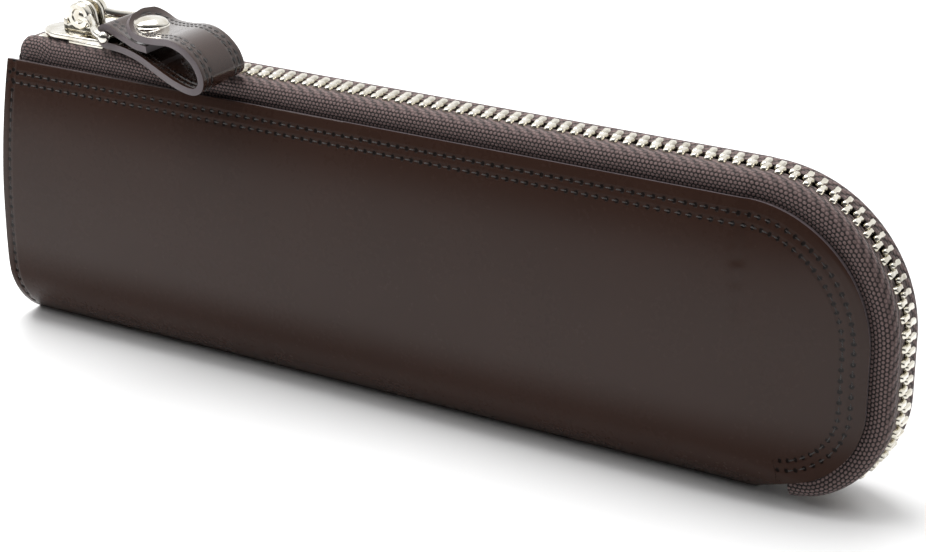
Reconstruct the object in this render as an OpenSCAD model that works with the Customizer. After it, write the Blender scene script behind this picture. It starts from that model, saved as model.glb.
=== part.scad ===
// Pen case: a leather skin folded at the bottom, a metal zip along the top, round the right end and a
// little way under it, a gusset in the thick left end, and a leather pull strap riveted to the slider.
// X runs along the case with the gusset at low X, the front panel faces -Y, Z is up.
// The origin lies on the base strip that the case stands on, midway along the whole length.

/* [Leather skin] */
// Length of the leather panels
leather_len = 195; // [185:1:205]
// Height of the leather panels
leather_h = 57.8; // [56:0.2:60]
// Thickness of the leather
leather_t = 1.6; // [1.4:0.1:1.8]
// Half the thickness of the case where it is fullest
half_full = 12.3; // [12:0.1:13]
// Half the thickness of the case at the zip
half_edge = 7.9; // [7.8:0.1:8.2]
// Height at which the case is fullest
full_z = 22; // [20:1:24]
// Half the width of the flat base strip
base_half = 3.2; // [3:0.1:3.5]
// Radius of the lower part of the cross-section
belly_r = 18; // [17:0.5:19]
// Radius of the upper corner of the right end
top_corner_r = 25; // [24:0.5:27]
// Radius of the lower corner of the right end
low_corner_r = 16; // [15:0.5:17]
// Height of the leather edge over the end of the zip
low_edge_z = 5.5; // [5:0.1:6]
// Length over which that edge slants down to the base
notch_len = 6.6; // [6:0.2:8]

/* [Lining and gusset] */
// Thickness of the lining
lining_t = 0.4; // [0.3:0.1:0.5]
// Thickness of the gusset leather
gusset_t = 0.9; // [0.8:0.1:1]
// Depth of the gusset wall inside the left end
gusset_depth = 5.5; // [5:0.1:6]

/* [Zip] */
// Thickness of the tape
tape_t = 0.5; // [0.4:0.05:0.5]
// Width of tape sewn behind the leather
tape_hidden = 8; // [7:0.5:9]
// How far the teeth stand above the leather edge
zip_proud = 4.7; // [4.5:0.1:4.8]
// Distance from one tooth to the next in a row
tooth_pitch = 2.7; // [2.6:0.05:2.8]
// Width of a tooth along the zip
tooth_w = 1.15; // [1:0.05:1.15]
// Height of a tooth
tooth_h = 2.2; // [2:0.1:2.3]
// Reach of a tooth outwards from the middle of the zip
tooth_out = 2.9; // [2.7:0.1:3]
// Reach of a tooth past the middle of the zip
tooth_past = 0.35; // [0.2:0.05:0.4]

/* [Slider and puller] */
// Length of the slider
slider_len = 18.3; // [17:0.1:18.5]
// Half width of the slider
slider_half = 4.9; // [4.8:0.1:5.2]
// Diameter of the hinge bar in the crown
hinge_bar_d = 2; // [1.8:0.1:2.1]
// Running clearance round the hinge bar
hinge_gap = 0.15; // [0.1:0.05:0.2]
// Radius of the puller's round lugs
lug_r = 2.8; // [2.6:0.1:2.9]
// Diameter of the bar that holds the strap
ring_bar_d = 1.8; // [1.6:0.1:1.9]

/* [Pull strap] */
// Width of the strap
strap_w = 13.6; // [13:0.1:13.7]
// Thickness of the strap
strap_t = 1.4; // [1.2:0.1:1.4]
// Sideways lean of the loop towards the front
strap_skew = 11.2; // [10:0.2:12]
// Diameter of the dome stud
stud_d = 8; // [7.5:0.1:8.5]

/* [Stitching] */
// Distance of the outer row from the zip edge
row_outer = 2.7; // [2.5:0.1:3]
// Distance of the inner row from the zip edge
row_inner = 4.7; // [4.5:0.1:5]
// Distance of the gusset row from the left end
row_gusset = 2; // [1.8:0.1:2.4]
// Thickness of the thread
thread_d = 0.5; // [0.4:0.05:0.5]

/* [Hidden] */
$fn = 96;
BACK = 1;
FRONT = -1;
wide = 40;    // more than any width of the case
tiny = 0.01;

// Ends of the leather; the zip stands proud at the right, so the whole case is centred on X = 0
left_x = -(leather_len + zip_proud) / 2;
right_x = left_x + leather_len;

// Cross-section: a flank arc above, a belly arc below, a flat strip at the bottom
flank_rise = leather_h - full_z;
flank_in = half_full - half_edge;
flank_r = (flank_rise * flank_rise + flank_in * flank_in) / (2 * flank_in);
belly_y = half_full - belly_r;
belly_z = sqrt(belly_r * belly_r - (base_half - belly_y) * (base_half - belly_y));
// Half the thickness of the case at a distance d from the zip edge
function half_at(d) = half_full - flank_r + sqrt(flank_r * flank_r - (flank_rise - d) * (flank_rise - d));

// Centres of the two round corners of the right end
top_c = [right_x - top_corner_r, leather_h - top_corner_r];
low_c = [right_x - low_corner_r, low_edge_z + low_corner_r];

// Layers counted inwards from the outer face of the leather
layer_gap = 0.02;
tape_in = leather_t + layer_gap;
lining_in = tape_in + tape_t + layer_gap;
// The two halves part along the left edge of the base strip, with this much room between them
fold_gap = 0.1;
gusset_wall_x = left_x + gusset_depth;
lining_x = gusset_wall_x + gusset_t + 0.6;

// Tape: a flat crown at half the teeth's height, a rounded shoulder, and a leg behind the leather edge
tooth_mid = zip_proud - tooth_h / 2;
tape_edge = 1.3;
shoulder_r = 2.7;
leg_y = half_edge - tape_in - layer_gap - tape_t / 2;
leg_foot = -0.5;
shoulder_y = leg_y - shoulder_r;
shoulder_z = tooth_mid - shoulder_r;
tape_start = 1.5;
tape_end_angle = 72;

// Run of the teeth: along the top, round the upper corner, down the end, round the lower corner
teeth_x = left_x + 10.8;
run_top = top_c.x - teeth_x;
run_corner = (top_corner_r + tooth_mid) * PI / 2;
run_end = top_c.y - low_c.y;
low_turn_r = low_corner_r + tooth_mid;
teeth_end_angle = 68;
run_low = low_turn_r * teeth_end_angle * PI / 180;
teeth_count = floor((run_top + run_corner + run_end + run_low) / tooth_pitch);
// Place [x, z, outward angle] of a point that is s along the run of the teeth
function along_teeth(s) =
    s < run_top ? [teeth_x + s, leather_h + tooth_mid, 90] :
    s < run_top + run_corner ?
        let (a = 90 - 90 * (s - run_top) / run_corner)
        [top_c.x + (top_corner_r + tooth_mid) * cos(a), top_c.y + (top_corner_r + tooth_mid) * sin(a), a] :
    s < run_top + run_corner + run_end ? [right_x + tooth_mid, top_c.y - (s - run_top - run_corner), 0] :
        let (a = -(s - run_top - run_corner - run_end) / low_turn_r * 180 / PI)
        [low_c.x + low_turn_r * cos(a), low_c.y + low_turn_r * sin(a), a];

// Slider: the plates run above and below the teeth, joined by a post near the left end
slider_x = left_x + 5.45;
plate_z = leather_h + 5.1;
plate_t = 1.2;
plate_top = plate_z + plate_t;
flange_drop = 0.7;
flange_t = 0.8;
flange_len = 9.5;
nose_r = 5.3;
wing_half = 4.2;
wing_z = leather_h + 1.3;
wing_t = 1;
post_x = slider_x + 3.4;
post_r = 1;

// Crown and puller
pivot = [left_x + 16.05, plate_top + 3.9];
crown_half = 1.5;
crown_len = 10;
crown_r = 3.1;
slot_half = 0.6;
lug_in = 1.75;
lug_t = 1.65;
ring_bar = [left_x + 26.15, plate_top + 1.9];
puller_len = norm(ring_bar - pivot);
puller_tilt = atan2(ring_bar.y - pivot.y, ring_bar.x - pivot.x);
puller_t = 1.6;
ring_in = 6.98;
ring_out = 8.5;

// Strap route along its near edge: [place from the left end, height over the leather, lift of the far edge],
// from the tip of the tongue over the loop and back under it; then it goes round the ring bar and ends
// as a middle layer
wrap_r = ring_bar_d / 2 + 0.3 + strap_t / 2;
OVER = [
    [30.9, 11.25, 0], [32.7, 10.5, 0], [35.3, 10.15, 0], [39.5, 10.5, 0], [44.2, 11.45, 0], [48.8, 12.45, 0],
    [52.1, 12.45, 0], [54.8, 11.55, 0], [56.9, 9.9, 0], [58, 8, 0.1], [58.4, 6.2, 0.4], [57.9, 4.85, 0.7],
    [56.6, 4.15, 0.9], [54.6, 4.15, 0.9], [51.4, 4.55, 0.9], [47, 5.1, 0.8], [41.9, 5.55, 0.4],
    [36.7, 5.9, 0.1], [31.5, 6.1, 0]
];
MIDDLE = [[28.6, 9.3, 0], [31.7, 8.6, 0], [35.5, 8.15, 0], [40.2, 8.65, 0]];
STRAP = [
    each [for (p = OVER) p + [left_x, leather_h, 0]],
    each [for (a = [-90:-30:-270]) [ring_bar.x + wrap_r * cos(a), ring_bar.y + wrap_r * sin(a), 0]],
    each [for (p = MIDDLE) p + [left_x, leather_h, 0]]
];
over_count = 11;   // points of the route that the stitching follows
skew_len = 31;
function ease(t) = let (c = max(0, min(1, t))) c * c * (3 - 2 * c);
// Middle of the strap's width at a place x along it
function strap_y(x) = -strap_skew * ease((x - ring_bar.x) / skew_len);
stud_x = left_x + 34.7;
stud_y = strap_y(stud_x) - 0.8;
stud_rise = 1.9;
stud_z = leather_h + 10.9;
post_z = leather_h + 6.75;

// Smooth curve through the points of a route, with the given number of steps between points
function smooth(p, steps) = [
    for (i = [0:len(p) - 2], k = [0:steps - 1])
        let (a = p[max(i - 1, 0)], b = p[i], c = p[i + 1], d = p[min(i + 2, len(p) - 1)], t = k / steps)
        b + 0.5 * t * ((c - a) + t * ((2 * a - 5 * b + 4 * c - d) + t * (3 * (b - c) + d - a))),
    p[len(p) - 1]
];

// ---------- shapes shared by several pieces ----------

// The part common to a circle at [y, z] and its mirror image, which is one rounded blade
module lens(r, y, z) {
    intersection() {
        translate([y, z]) circle(r);
        translate([-y, z]) circle(r);
    }
}

// Cross-section of the case, drawn in Y and Z, taken inwards by t
module cross_section(t) {
    intersection() {
        lens(flank_r - t, half_full - flank_r, full_z);
        union() {
            lens(belly_r - t, belly_y, belly_z);
            translate([-wide / 2, belly_z]) square([wide, leather_h]);
        }
        translate([-wide / 2, t]) square([wide, leather_h + 4]);
    }
}

// Plan of the right end, drawn in X and Y: full up to the taper, then closing to the zip
module end_plan(t) {
    taper_x = right_x - flank_rise;
    translate([left_x - 5, -wide / 2]) square([taper_x - left_x + 5, wide]);
    intersection() {
        lens_x(flank_r - t, taper_x, half_full - flank_r);
        translate([taper_x - tiny, -wide / 2]) square([flank_rise + 5, wide]);
    }
}

module lens_x(r, x, y) {
    intersection() {
        translate([x, y]) circle(r);
        translate([x, -y]) circle(r);
    }
}

// Round pillow that closes the upper corner towards the zip
module corner_pillow(t) {
    translate([top_c.x, 0, top_c.y]) rotate([90, 0, 0]) rotate_extrude() intersection() {
        lens_x(flank_r - t, top_corner_r - flank_rise, half_full - flank_r);
        translate([0, -wide / 2]) square([top_corner_r + 4, wide]);
    }
}

// The whole case as one solid, taken inwards by t
module cushion(t) {
    intersection() {
        translate([left_x - 5, 0, 0]) rotate([90, 0, 90]) linear_extrude(leather_len + 10) cross_section(t);
        translate([0, 0, -5]) linear_extrude(leather_h + 15) end_plan(t);
        union() {
            corner_pillow(t);
            translate([left_x - 6, -wide / 2, -6]) cube([top_c.x - left_x + 6, wide, leather_h + 16]);
            translate([left_x - 6, -wide / 2, -6]) cube([leather_len + 12, wide, top_c.y + 6]);
        }
    }
}

// Side view of the leather, drawn in X and Z, with its zip edges moved in by d
module side_view(d) {
    x = right_x - d;
    difference() {
        translate([left_x, 0]) square([x - left_x, leather_h - d]);
        difference() {
            translate([top_c.x, top_c.y]) square(top_corner_r);
            translate([top_c.x, top_c.y]) circle(top_corner_r - d);
        }
        difference() {
            translate([low_c.x, 0]) square([low_corner_r, low_c.y]);
            translate([low_c.x, low_c.y]) circle(low_corner_r - d);
        }
        polygon([
            [low_c.x - notch_len, 0], [low_c.x, low_edge_z + d],
            [low_c.x + tiny, -1], [low_c.x - notch_len, -1]
        ]);
    }
}

module side_prism(d) {
    rotate([90, 0, 0]) linear_extrude(wide, center = true) side_view(d);
}

// Shell of the case between two depths, clipped to the side view
module skin(t0, t1, d = 0) {
    intersection() {
        side_prism(d);
        difference() {
            cushion(t0);
            cushion(t1);
        }
    }
}

// Keeps what belongs to the back half (with the base strip) or to the front half
module half(side) {
    split_y = -base_half + side * fold_gap / 2;
    intersection() {
        children();
        translate([-leather_len, side == BACK ? split_y : split_y - wide, -10])
            cube([2 * leather_len, wide, 2 * leather_h]);
    }
}

// Sweeps a section, drawn as [height over the leather edge, distance from the middle], along the zip
module along_zip(side, start_x, low_angle) {
    mirror([0, side == BACK ? 1 : 0, 0]) {
        translate([start_x, 0, leather_h]) rotate([0, -90, 180]) linear_extrude(top_c.x - start_x) children();
        translate([top_c.x, 0, top_c.y]) rotate([90, 0, 0]) rotate_extrude(angle = 90)
            translate([top_corner_r, 0]) children();
        translate([right_x, 0, top_c.y]) rotate([180, 0, 0]) linear_extrude(top_c.y - low_c.y) children();
        if (low_angle > 0)
            translate([low_c.x, 0, low_c.y]) mirror([0, 0, 1]) rotate([90, 0, 0])
                rotate_extrude(angle = low_angle) translate([low_corner_r, 0]) children();
    }
}

// ---------- leather, lining and gusset ----------

module leather(side) {
    color("#3b2a24") half(side) skin(0, leather_t);
}

module lining(side) {
    color("#8a6f52") half(side) intersection() {
        skin(lining_in, lining_in + lining_t, 1);
        translate([lining_x, -wide / 2, -1]) cube([leather_len, wide, leather_h + 2]);
    }
}

module end_gusset() {
    color("#33241f") intersection() {
        union() {
            skin(lining_in, lining_in + gusset_t);
            intersection() {
                cushion(lining_in);
                translate([gusset_wall_x, -wide / 2, 0]) cube([gusset_t, wide, leather_h]);
            }
        }
        translate([left_x, -wide / 2, 0]) cube([gusset_depth + gusset_t, wide, leather_h - 1.4]);
    }
}

module gusset_lining() {
    sheet_x = gusset_wall_x + gusset_t + layer_gap;
    color("#8a6f52") intersection() {
        cushion(lining_in + gusset_t);
        translate([sheet_x, -wide / 2, 0]) cube([lining_t, wide, leather_h - 2]);
    }
}

// ---------- zip ----------

module tape_section() {
    translate([tooth_mid - tape_t / 2, tape_edge]) square([tape_t, shoulder_y - tape_edge]);
    intersection() {
        translate([shoulder_z, shoulder_y]) difference() {
            circle(shoulder_r + tape_t / 2);
            circle(shoulder_r - tape_t / 2);
        }
        translate([shoulder_z, shoulder_y]) square(shoulder_r + 1);
    }
    translate([leg_foot, leg_y - tape_t / 2]) square([shoulder_z - leg_foot, tape_t]);
}

module zip_tape(side) {
    color("#5d4a48") union() {
        along_zip(side, left_x + tape_start, tape_end_angle) tape_section();
        intersection() {
            skin(tape_in, tape_in + tape_t);
            difference() {
                translate([left_x + tape_start, side == BACK ? 0 : -wide, 0])
                    cube([leather_len, wide, leather_h + 1]);
                side_prism(tape_hidden);
                translate([left_x, -wide, -1]) cube([low_c.x - left_x, 2 * wide, leather_h - tape_hidden + 1]);
            }
        }
    }
}

module zip_teeth(side) {
    offset_s = side == BACK ? 0 : tooth_pitch / 2;
    color("#d9d4c4") for (i = [0:teeth_count - 1]) {
        p = along_teeth(tooth_w / 2 + offset_s + i * tooth_pitch);
        translate([p[0], 0, p[1]]) rotate([0, 90 - p[2], 0])
            translate([-tooth_w / 2, side == BACK ? -tooth_past : -tooth_out, -tooth_h / 2])
                cube([tooth_w, tooth_out + tooth_past, tooth_h]);
    }
}

// Clip that grips the edge of the tape
module top_stop(side) {
    stop_len = 3;
    jaw_h = 0.95;
    inner_y = 0.8;
    outer_y = 3.4;
    color("#d9d4c4") mirror([0, side == BACK ? 0 : 1, 0])
        translate([left_x + 4.6, 0, leather_h + tooth_mid]) difference() {
            translate([0, inner_y, -jaw_h]) cube([stop_len, outer_y - inner_y, 2 * jaw_h]);
            translate([-1, tape_edge - layer_gap, -tape_t / 2 - layer_gap])
                cube([stop_len + 2, outer_y, tape_t + 2 * layer_gap]);
        }
}

module bottom_stop() {
    stop_len = 4;
    stop_angle = 81;
    color("#d9d4c4") translate([low_c.x, 0, low_c.y]) rotate([0, 90 + stop_angle, 0])
        translate([-stop_len / 2, -2.9, low_corner_r + zip_proud - tooth_h]) cube([stop_len, 5.8, tooth_h]);
}

// ---------- stitching ----------

module stitch_row(side, inset) {
    face = half_at(inset + thread_d / 2) + 0.03;
    color("#1d1310") along_zip(side, left_x + row_gusset + 1, 0)
        translate([-inset - thread_d / 2, face]) square([thread_d, 0.3]);
}

module gusset_stitches(side) {
    color("#1d1310") intersection() {
        difference() {
            cushion(-0.33);
            cushion(-0.03);
        }
        translate([left_x + row_gusset - thread_d / 2, side == BACK ? 1 : -wide - 1, 4])
            cube([thread_d, wide, leather_h - 7]);
    }
}

// ---------- slider and puller ----------

// Plan of a slider plate: a round nose at the left and a straight tail
module plate_plan(half_width, r) {
    translate([slider_x + nose_r, 0]) circle(r);
    translate([slider_x + nose_r, -half_width]) square([slider_len - nose_r, 2 * half_width]);
}

module slider_body() {
    tail_x = slider_x + slider_len - flange_len;
    color("#c9c6bf") union() {
        translate([0, 0, plate_z]) linear_extrude(plate_t) plate_plan(slider_half, nose_r);
        translate([0, 0, wing_z]) linear_extrude(wing_t) plate_plan(wing_half, wing_half);
        translate([post_x, 0, wing_z]) cylinder(r = post_r, h = plate_z - wing_z + plate_t / 2);
        for (y = [-slider_half, slider_half - flange_t])
            translate([tail_x, y, plate_z - flange_drop]) cube([flange_len, flange_t, flange_drop + plate_t / 2]);
    }
}

module slider_crown() {
    foot_z = 2;
    slot_h = 1.6;
    color("#c9c6bf") difference() {
        rotate([90, 0, 0]) linear_extrude(2 * crown_half, center = true) difference() {
            union() {
                translate(pivot) circle(crown_r);
                translate([pivot.x - crown_r, plate_top]) square([2 * crown_r, pivot.y - plate_top]);
                translate([pivot.x - crown_len / 2, plate_top]) square([crown_len, foot_z]);
            }
            translate(pivot) circle(hinge_bar_d / 2 + hinge_gap);
        }
        translate([pivot.x - crown_len / 2 - 1, -slot_half, plate_top - 1])
            cube([crown_len + 2, 2 * slot_half, slot_h + 1]);
    }
}

module lock_spring() {
    color("#b8b4a6") translate([pivot.x - crown_len / 2 + 0.3, -slot_half + 0.1, plate_top + 0.7])
        cube([crown_len - 0.6, 2 * slot_half - 0.2, 0.4]);
}

// Plan of the puller: two lugs' arms that spread to the width of the strap
module puller_plan() {
    difference() {
        polygon([
            [0, lug_in + lug_t], [2.4, lug_in + lug_t], [5.6, ring_out], [puller_len, ring_out],
            [puller_len, -ring_out], [5.6, -ring_out], [2.4, -lug_in - lug_t], [0, -lug_in - lug_t]
        ]);
        polygon([
            [-1, lug_in], [3.6, lug_in], [6.6, ring_in], [puller_len + 1, ring_in],
            [puller_len + 1, -ring_in], [6.6, -ring_in], [3.6, -lug_in], [-1, -lug_in]
        ]);
    }
}

module puller() {
    color("#c9c6bf") translate([pivot.x, 0, pivot.y]) rotate([0, -puller_tilt, 0]) union() {
        translate([0, 0, -puller_t / 2]) linear_extrude(puller_t) puller_plan();
        for (y = [-lug_in - lug_t, lug_in])
            translate([0, y + lug_t, 0]) rotate([90, 0, 0]) cylinder(r = lug_r, h = lug_t);
        rotate([90, 0, 0]) cylinder(d = hinge_bar_d, h = 2 * lug_in + lug_t, center = true);
        translate([puller_len, 0, 0]) rotate([90, 0, 0]) cylinder(d = ring_bar_d, h = 2 * ring_out, center = true);
    }
}

// ---------- pull strap ----------

// A band along a route, between two places across the strap's width and two heights over its middle
module band(route, across0, across1, low, high) {
    n = len(route);
    rings = [
        for (i = [0:n - 1])
            let (
                p = route[i],
                dir = route[min(i + 1, n - 1)] - route[max(i - 1, 0)],
                up = [-dir.y, dir.x] / norm([dir.x, dir.y])
            )
            for (corner = [[across0, low], [across1, low], [across1, high], [across0, high]])
                [p.x + up.x * corner[1],
                 strap_y(p.x) + strap_w * (corner[0] - 0.5),
                 p.y + p.z * corner[0] + up.y * corner[1]]
    ];
    sides = [
        for (i = [0:n - 2], k = [0:3])
            let (a = 4 * i + k, b = 4 * i + (k + 1) % 4)
            each [[a, a + 4, b + 4], [a, b + 4, b]]
    ];
    last = 4 * (n - 1);
    polyhedron(rings, concat(sides, [[0, 1, 2, 3], [last + 3, last + 2, last + 1, last]]));
}

module pull_strap() {
    color("#3f2c27") band(smooth(STRAP, 3), 0, 1, -strap_t / 2, strap_t / 2);
}

module strap_stitches() {
    route = smooth([for (i = [1:over_count - 1]) STRAP[i]], 2);
    face = strap_t / 2;
    color("#1d1310") for (across = [0.09, 0.19, 0.79, 0.89])
        band(route, across, across + 0.025, face + 0.03, face + 0.25);
}

module stud_cap() {
    dome_r = (stud_d * stud_d / 4 + stud_rise * stud_rise) / (2 * stud_rise);
    color("#dedcd6") translate([stud_x, stud_y, stud_z]) intersection() {
        translate([0, 0, stud_rise - dome_r]) sphere(dome_r);
        cylinder(d = stud_d, h = 2 * stud_rise);
    }
}

module stud_post() {
    color("#c9c6bf") translate([stud_x, stud_y, 0]) union() {
        translate([0, 0, post_z]) cylinder(d = 2.4, h = stud_z - post_z);
        translate([0, 0, post_z]) cylinder(d = 5, h = 0.35);
    }
}

leather(BACK);  // leather_back
leather(FRONT);  // leather_front
lining(BACK);  // lining_back
lining(FRONT);  // lining_front
end_gusset();
gusset_lining();
zip_tape(BACK);  // zip_tape_back
zip_tape(FRONT);  // zip_tape_front
zip_teeth(BACK);  // zip_teeth_back
zip_teeth(FRONT);  // zip_teeth_front
top_stop(BACK);  // top_stop_back
top_stop(FRONT);  // top_stop_front
bottom_stop();
stitch_row(BACK, row_outer);  // outer_stitches_back
stitch_row(FRONT, row_outer);  // outer_stitches_front
stitch_row(BACK, row_inner);  // inner_stitches_back
stitch_row(FRONT, row_inner);  // inner_stitches_front
gusset_stitches(BACK);  // gusset_stitches_back
gusset_stitches(FRONT);  // gusset_stitches_front
slider_body();
slider_crown();
lock_spring();
puller();
pull_strap();
stud_cap();
stud_post();
strap_stitches();
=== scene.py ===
"""A slim leather pen case with an L-shaped metal zip, a gusseted left end and a riveted pull strap.

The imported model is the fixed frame. Each sub-assembly is a class that builds its own meshes round the frame and dresses
them in its finishes. Sizes inside the classes are in millimetres, and meshes are written in metres.
"""

from __future__ import annotations

import logging
import math
from dataclasses import dataclass
from enum import Enum
from typing import Any, Callable, Sequence

import bmesh
import bpy
import numpy as np
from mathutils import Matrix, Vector

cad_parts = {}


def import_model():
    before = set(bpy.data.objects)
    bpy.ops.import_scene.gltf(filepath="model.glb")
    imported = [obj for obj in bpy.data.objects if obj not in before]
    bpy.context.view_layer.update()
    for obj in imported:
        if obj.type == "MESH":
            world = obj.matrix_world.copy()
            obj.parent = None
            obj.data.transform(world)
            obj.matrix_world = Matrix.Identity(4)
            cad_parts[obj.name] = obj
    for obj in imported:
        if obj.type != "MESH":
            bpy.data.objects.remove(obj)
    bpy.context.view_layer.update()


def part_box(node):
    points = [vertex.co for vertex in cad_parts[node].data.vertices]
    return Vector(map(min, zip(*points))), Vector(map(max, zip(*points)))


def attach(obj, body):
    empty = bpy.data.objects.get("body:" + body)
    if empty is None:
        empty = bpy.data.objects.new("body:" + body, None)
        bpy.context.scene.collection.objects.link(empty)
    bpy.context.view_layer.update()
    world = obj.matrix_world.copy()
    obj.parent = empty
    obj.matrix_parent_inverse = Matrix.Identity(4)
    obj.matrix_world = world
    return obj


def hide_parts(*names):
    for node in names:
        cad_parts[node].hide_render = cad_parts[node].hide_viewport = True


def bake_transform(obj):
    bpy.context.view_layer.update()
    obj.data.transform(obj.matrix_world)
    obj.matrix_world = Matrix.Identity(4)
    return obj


LOG = logging.getLogger("pen_case")
MM = 0.001
Array = np.ndarray
Colour = tuple[float, float, float]


class Side(Enum):
    """The two halves of the case, and the sign of Y of their outer faces."""

    FRONT = -1
    BACK = 1


class Stretch(Enum):
    """Which part of a piece's length is built: the front pieces part at a plane into two halves."""

    WHOLE = "whole"
    LEFT = "left"
    RIGHT = "right"


# ---------------------------------------------------------------------------------------------------------------------
# Shader graphs
# ---------------------------------------------------------------------------------------------------------------------


class Graph:
    """The node tree of one material, with short ways to add nodes and sums."""

    def __init__(self, name: str) -> None:
        """Starts a material with a Principled shader.

        Args:
            name: The material's name.
        """
        self.material = bpy.data.materials.new(name)
        self.material.use_nodes = True
        self.tree = self.material.node_tree
        self.shader = self.tree.nodes["Principled BSDF"]

    def node(self, kind: str, settings: dict[str, Any] | None = None, inputs: dict[Any, Any] | None = None) -> Any:
        """Adds a node.

        Args:
            kind: The node's type.
            settings: Properties, set before its sockets. "stops" fills a colour ramp with (place, colour) pairs.
            inputs: Values or links by socket name or number.

        Returns:
            The new node.
        """
        made = self.tree.nodes.new(kind)
        for key, value in (settings or {}).items():
            if key == "stops":
                ramp = made.color_ramp.elements
                while len(ramp) < len(value):
                    ramp.new(0.5)
                for element, (place, colour) in zip(ramp, value):
                    element.position, element.color = place, (*colour, 1.0)
            else:
                setattr(made, key, value)
        for key, value in (inputs or {}).items():
            self.feed(made.inputs[key], value)
        return made

    def feed(self, socket: Any, value: Any) -> None:
        """Links or sets one socket.

        Args:
            socket: The input socket.
            value: A Term, an output socket, or a plain value.
        """
        value = value.socket if isinstance(value, Term) else value
        if isinstance(value, bpy.types.NodeSocket):
            self.tree.links.new(value, socket)
        elif isinstance(value, tuple) and len(value) == 3 and socket.type == "RGBA":
            socket.default_value = (*value, 1.0)
        else:
            socket.default_value = value

    def object_place(self) -> Any:
        """Returns the object-coordinates socket."""
        return self.node("ShaderNodeTexCoord").outputs["Object"]

    def along_across(self, uv_map: str) -> tuple["Term", "Term"]:
        """Returns the two numbers of one of the piece's own UV maps.

        Args:
            uv_map: The map's name.

        Returns:
            Millimetres along and across the piece.
        """
        split = self.node(
            "ShaderNodeSeparateXYZ", inputs={0: self.node("ShaderNodeUVMap", {"uv_map": uv_map}).outputs[0]}
        )
        return Term(self, split.outputs[0]), Term(self, split.outputs[1])

    def noise(self, scale: float, detail: float = 2.0, vector: Any = None, roughness: float = 0.5) -> "Term":
        """Returns smooth noise from 0 to 1.

        Args:
            scale: Waves per metre, or per unit of the vector.
            detail: Octaves.
            vector: The place, or None for object coordinates.
            roughness: Strength of the finer octaves.

        Returns:
            The noise.
        """
        made = self.node(
            "ShaderNodeTexNoise",
            inputs={
                "Vector": vector or self.object_place(),
                "Scale": scale,
                "Detail": detail,
                "Roughness": roughness,
            },
        )
        return Term(self, made.outputs["Fac"])

    def cells(self, scale: float, feature: str = "F1", vector: Any = None) -> "Term":
        """Returns the distance to the nearest cell point or border.

        Args:
            scale: Cells per metre.
            feature: The kind of Voronoi distance.
            vector: The place, or None for object coordinates.

        Returns:
            The distance.
        """
        made = self.node(
            "ShaderNodeTexVoronoi", {"feature": feature}, {"Vector": vector or self.object_place(), "Scale": scale}
        )
        return Term(self, made.outputs["Distance"])

    def mix(self, factor: Any, first: Any, second: Any) -> Any:
        """Returns a colour between two.

        Args:
            factor: 0 gives the first, 1 the second.
            first: A colour or socket.
            second: A colour or socket.

        Returns:
            The mixed colour's socket.
        """
        made = self.node("ShaderNodeMix", {"data_type": "RGBA"})
        self.feed(made.inputs["Factor"], factor)
        self.feed(made.inputs[6], first)
        self.feed(made.inputs[7], second)
        return made.outputs[2]

    def bump(self, height: Any, strength: float, distance: float, under: Any = None) -> Any:
        """Returns a normal bent by a height.

        Args:
            height: The height, from 0 to 1.
            strength: Share of the effect.
            distance: Real depth in metres.
            under: A normal that this one lies on.

        Returns:
            The normal's socket.
        """
        made = self.node("ShaderNodeBump", inputs={"Height": height, "Strength": strength, "Distance": distance})
        if under is not None:
            self.feed(made.inputs["Normal"], under)
        return made.outputs["Normal"]

    def dress(self, **sockets: Any) -> bpy.types.Material:
        """Sets the Principled shader's sockets.

        Args:
            sockets: Values or links; an underscore in a name stands for a space.

        Returns:
            The finished material.
        """
        for name, value in sockets.items():
            self.feed(self.shader.inputs[name.replace("_", " ")], value)
        return self.material


@dataclass(frozen=True)
class Term:
    """A shader value that can be used in sums."""

    graph: Graph
    socket: Any

    def _math(self, operation: str, *others: Any, clamp: bool = False) -> "Term":
        """Adds one Math node on this value and the others."""
        inputs: dict[Any, Any] = {0: self}
        inputs.update({i + 1: other for i, other in enumerate(others)})
        made = self.graph.node("ShaderNodeMath", {"operation": operation, "use_clamp": clamp}, inputs)
        return Term(self.graph, made.outputs[0])

    def __add__(self, other: Any) -> "Term":
        """Returns the sum."""
        return self._math("ADD", other)

    __radd__ = __add__

    def __mul__(self, other: Any) -> "Term":
        """Returns the product."""
        return self._math("MULTIPLY", other)

    __rmul__ = __mul__

    def __sub__(self, other: Any) -> "Term":
        """Returns the difference."""
        return self._math("SUBTRACT", other)

    def __rsub__(self, other: Any) -> "Term":
        """Returns other less this."""
        return (self * -1.0) + other

    def __truediv__(self, other: Any) -> "Term":
        """Returns the quotient."""
        return self._math("DIVIDE", other)

    def __neg__(self) -> "Term":
        """Returns the negative."""
        return self * -1.0

    def abs(self) -> "Term":
        """Returns the size without its sign."""
        return self._math("ABSOLUTE")

    def sin(self) -> "Term":
        """Returns the sine."""
        return self._math("SINE")

    def part(self) -> "Term":
        """Returns the part after the decimal point."""
        return self._math("FRACT")

    def whole(self) -> "Term":
        """Returns the whole number below."""
        return self._math("FLOOR")

    def least(self, other: Any) -> "Term":
        """Returns the smaller of the two."""
        return self._math("MINIMUM", other)

    def most(self, other: Any) -> "Term":
        """Returns the larger of the two."""
        return self._math("MAXIMUM", other)

    def root(self) -> "Term":
        """Returns the square root."""
        return self._math("SQRT")

    def below(self, edge: float, soft: float) -> "Term":
        """Returns 1 well below an edge and 0 well above it, turning smoothly over twice the soft width."""
        made = self.graph.node(
            "ShaderNodeMapRange",
            {"interpolation_type": "SMOOTHSTEP"},
            {"Value": self, "From Min": edge - soft, "From Max": edge + soft, "To Min": 1.0, "To Max": 0.0},
        )
        return Term(self.graph, made.outputs[0])


# ---------------------------------------------------------------------------------------------------------------------
# Finishes
# ---------------------------------------------------------------------------------------------------------------------


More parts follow.
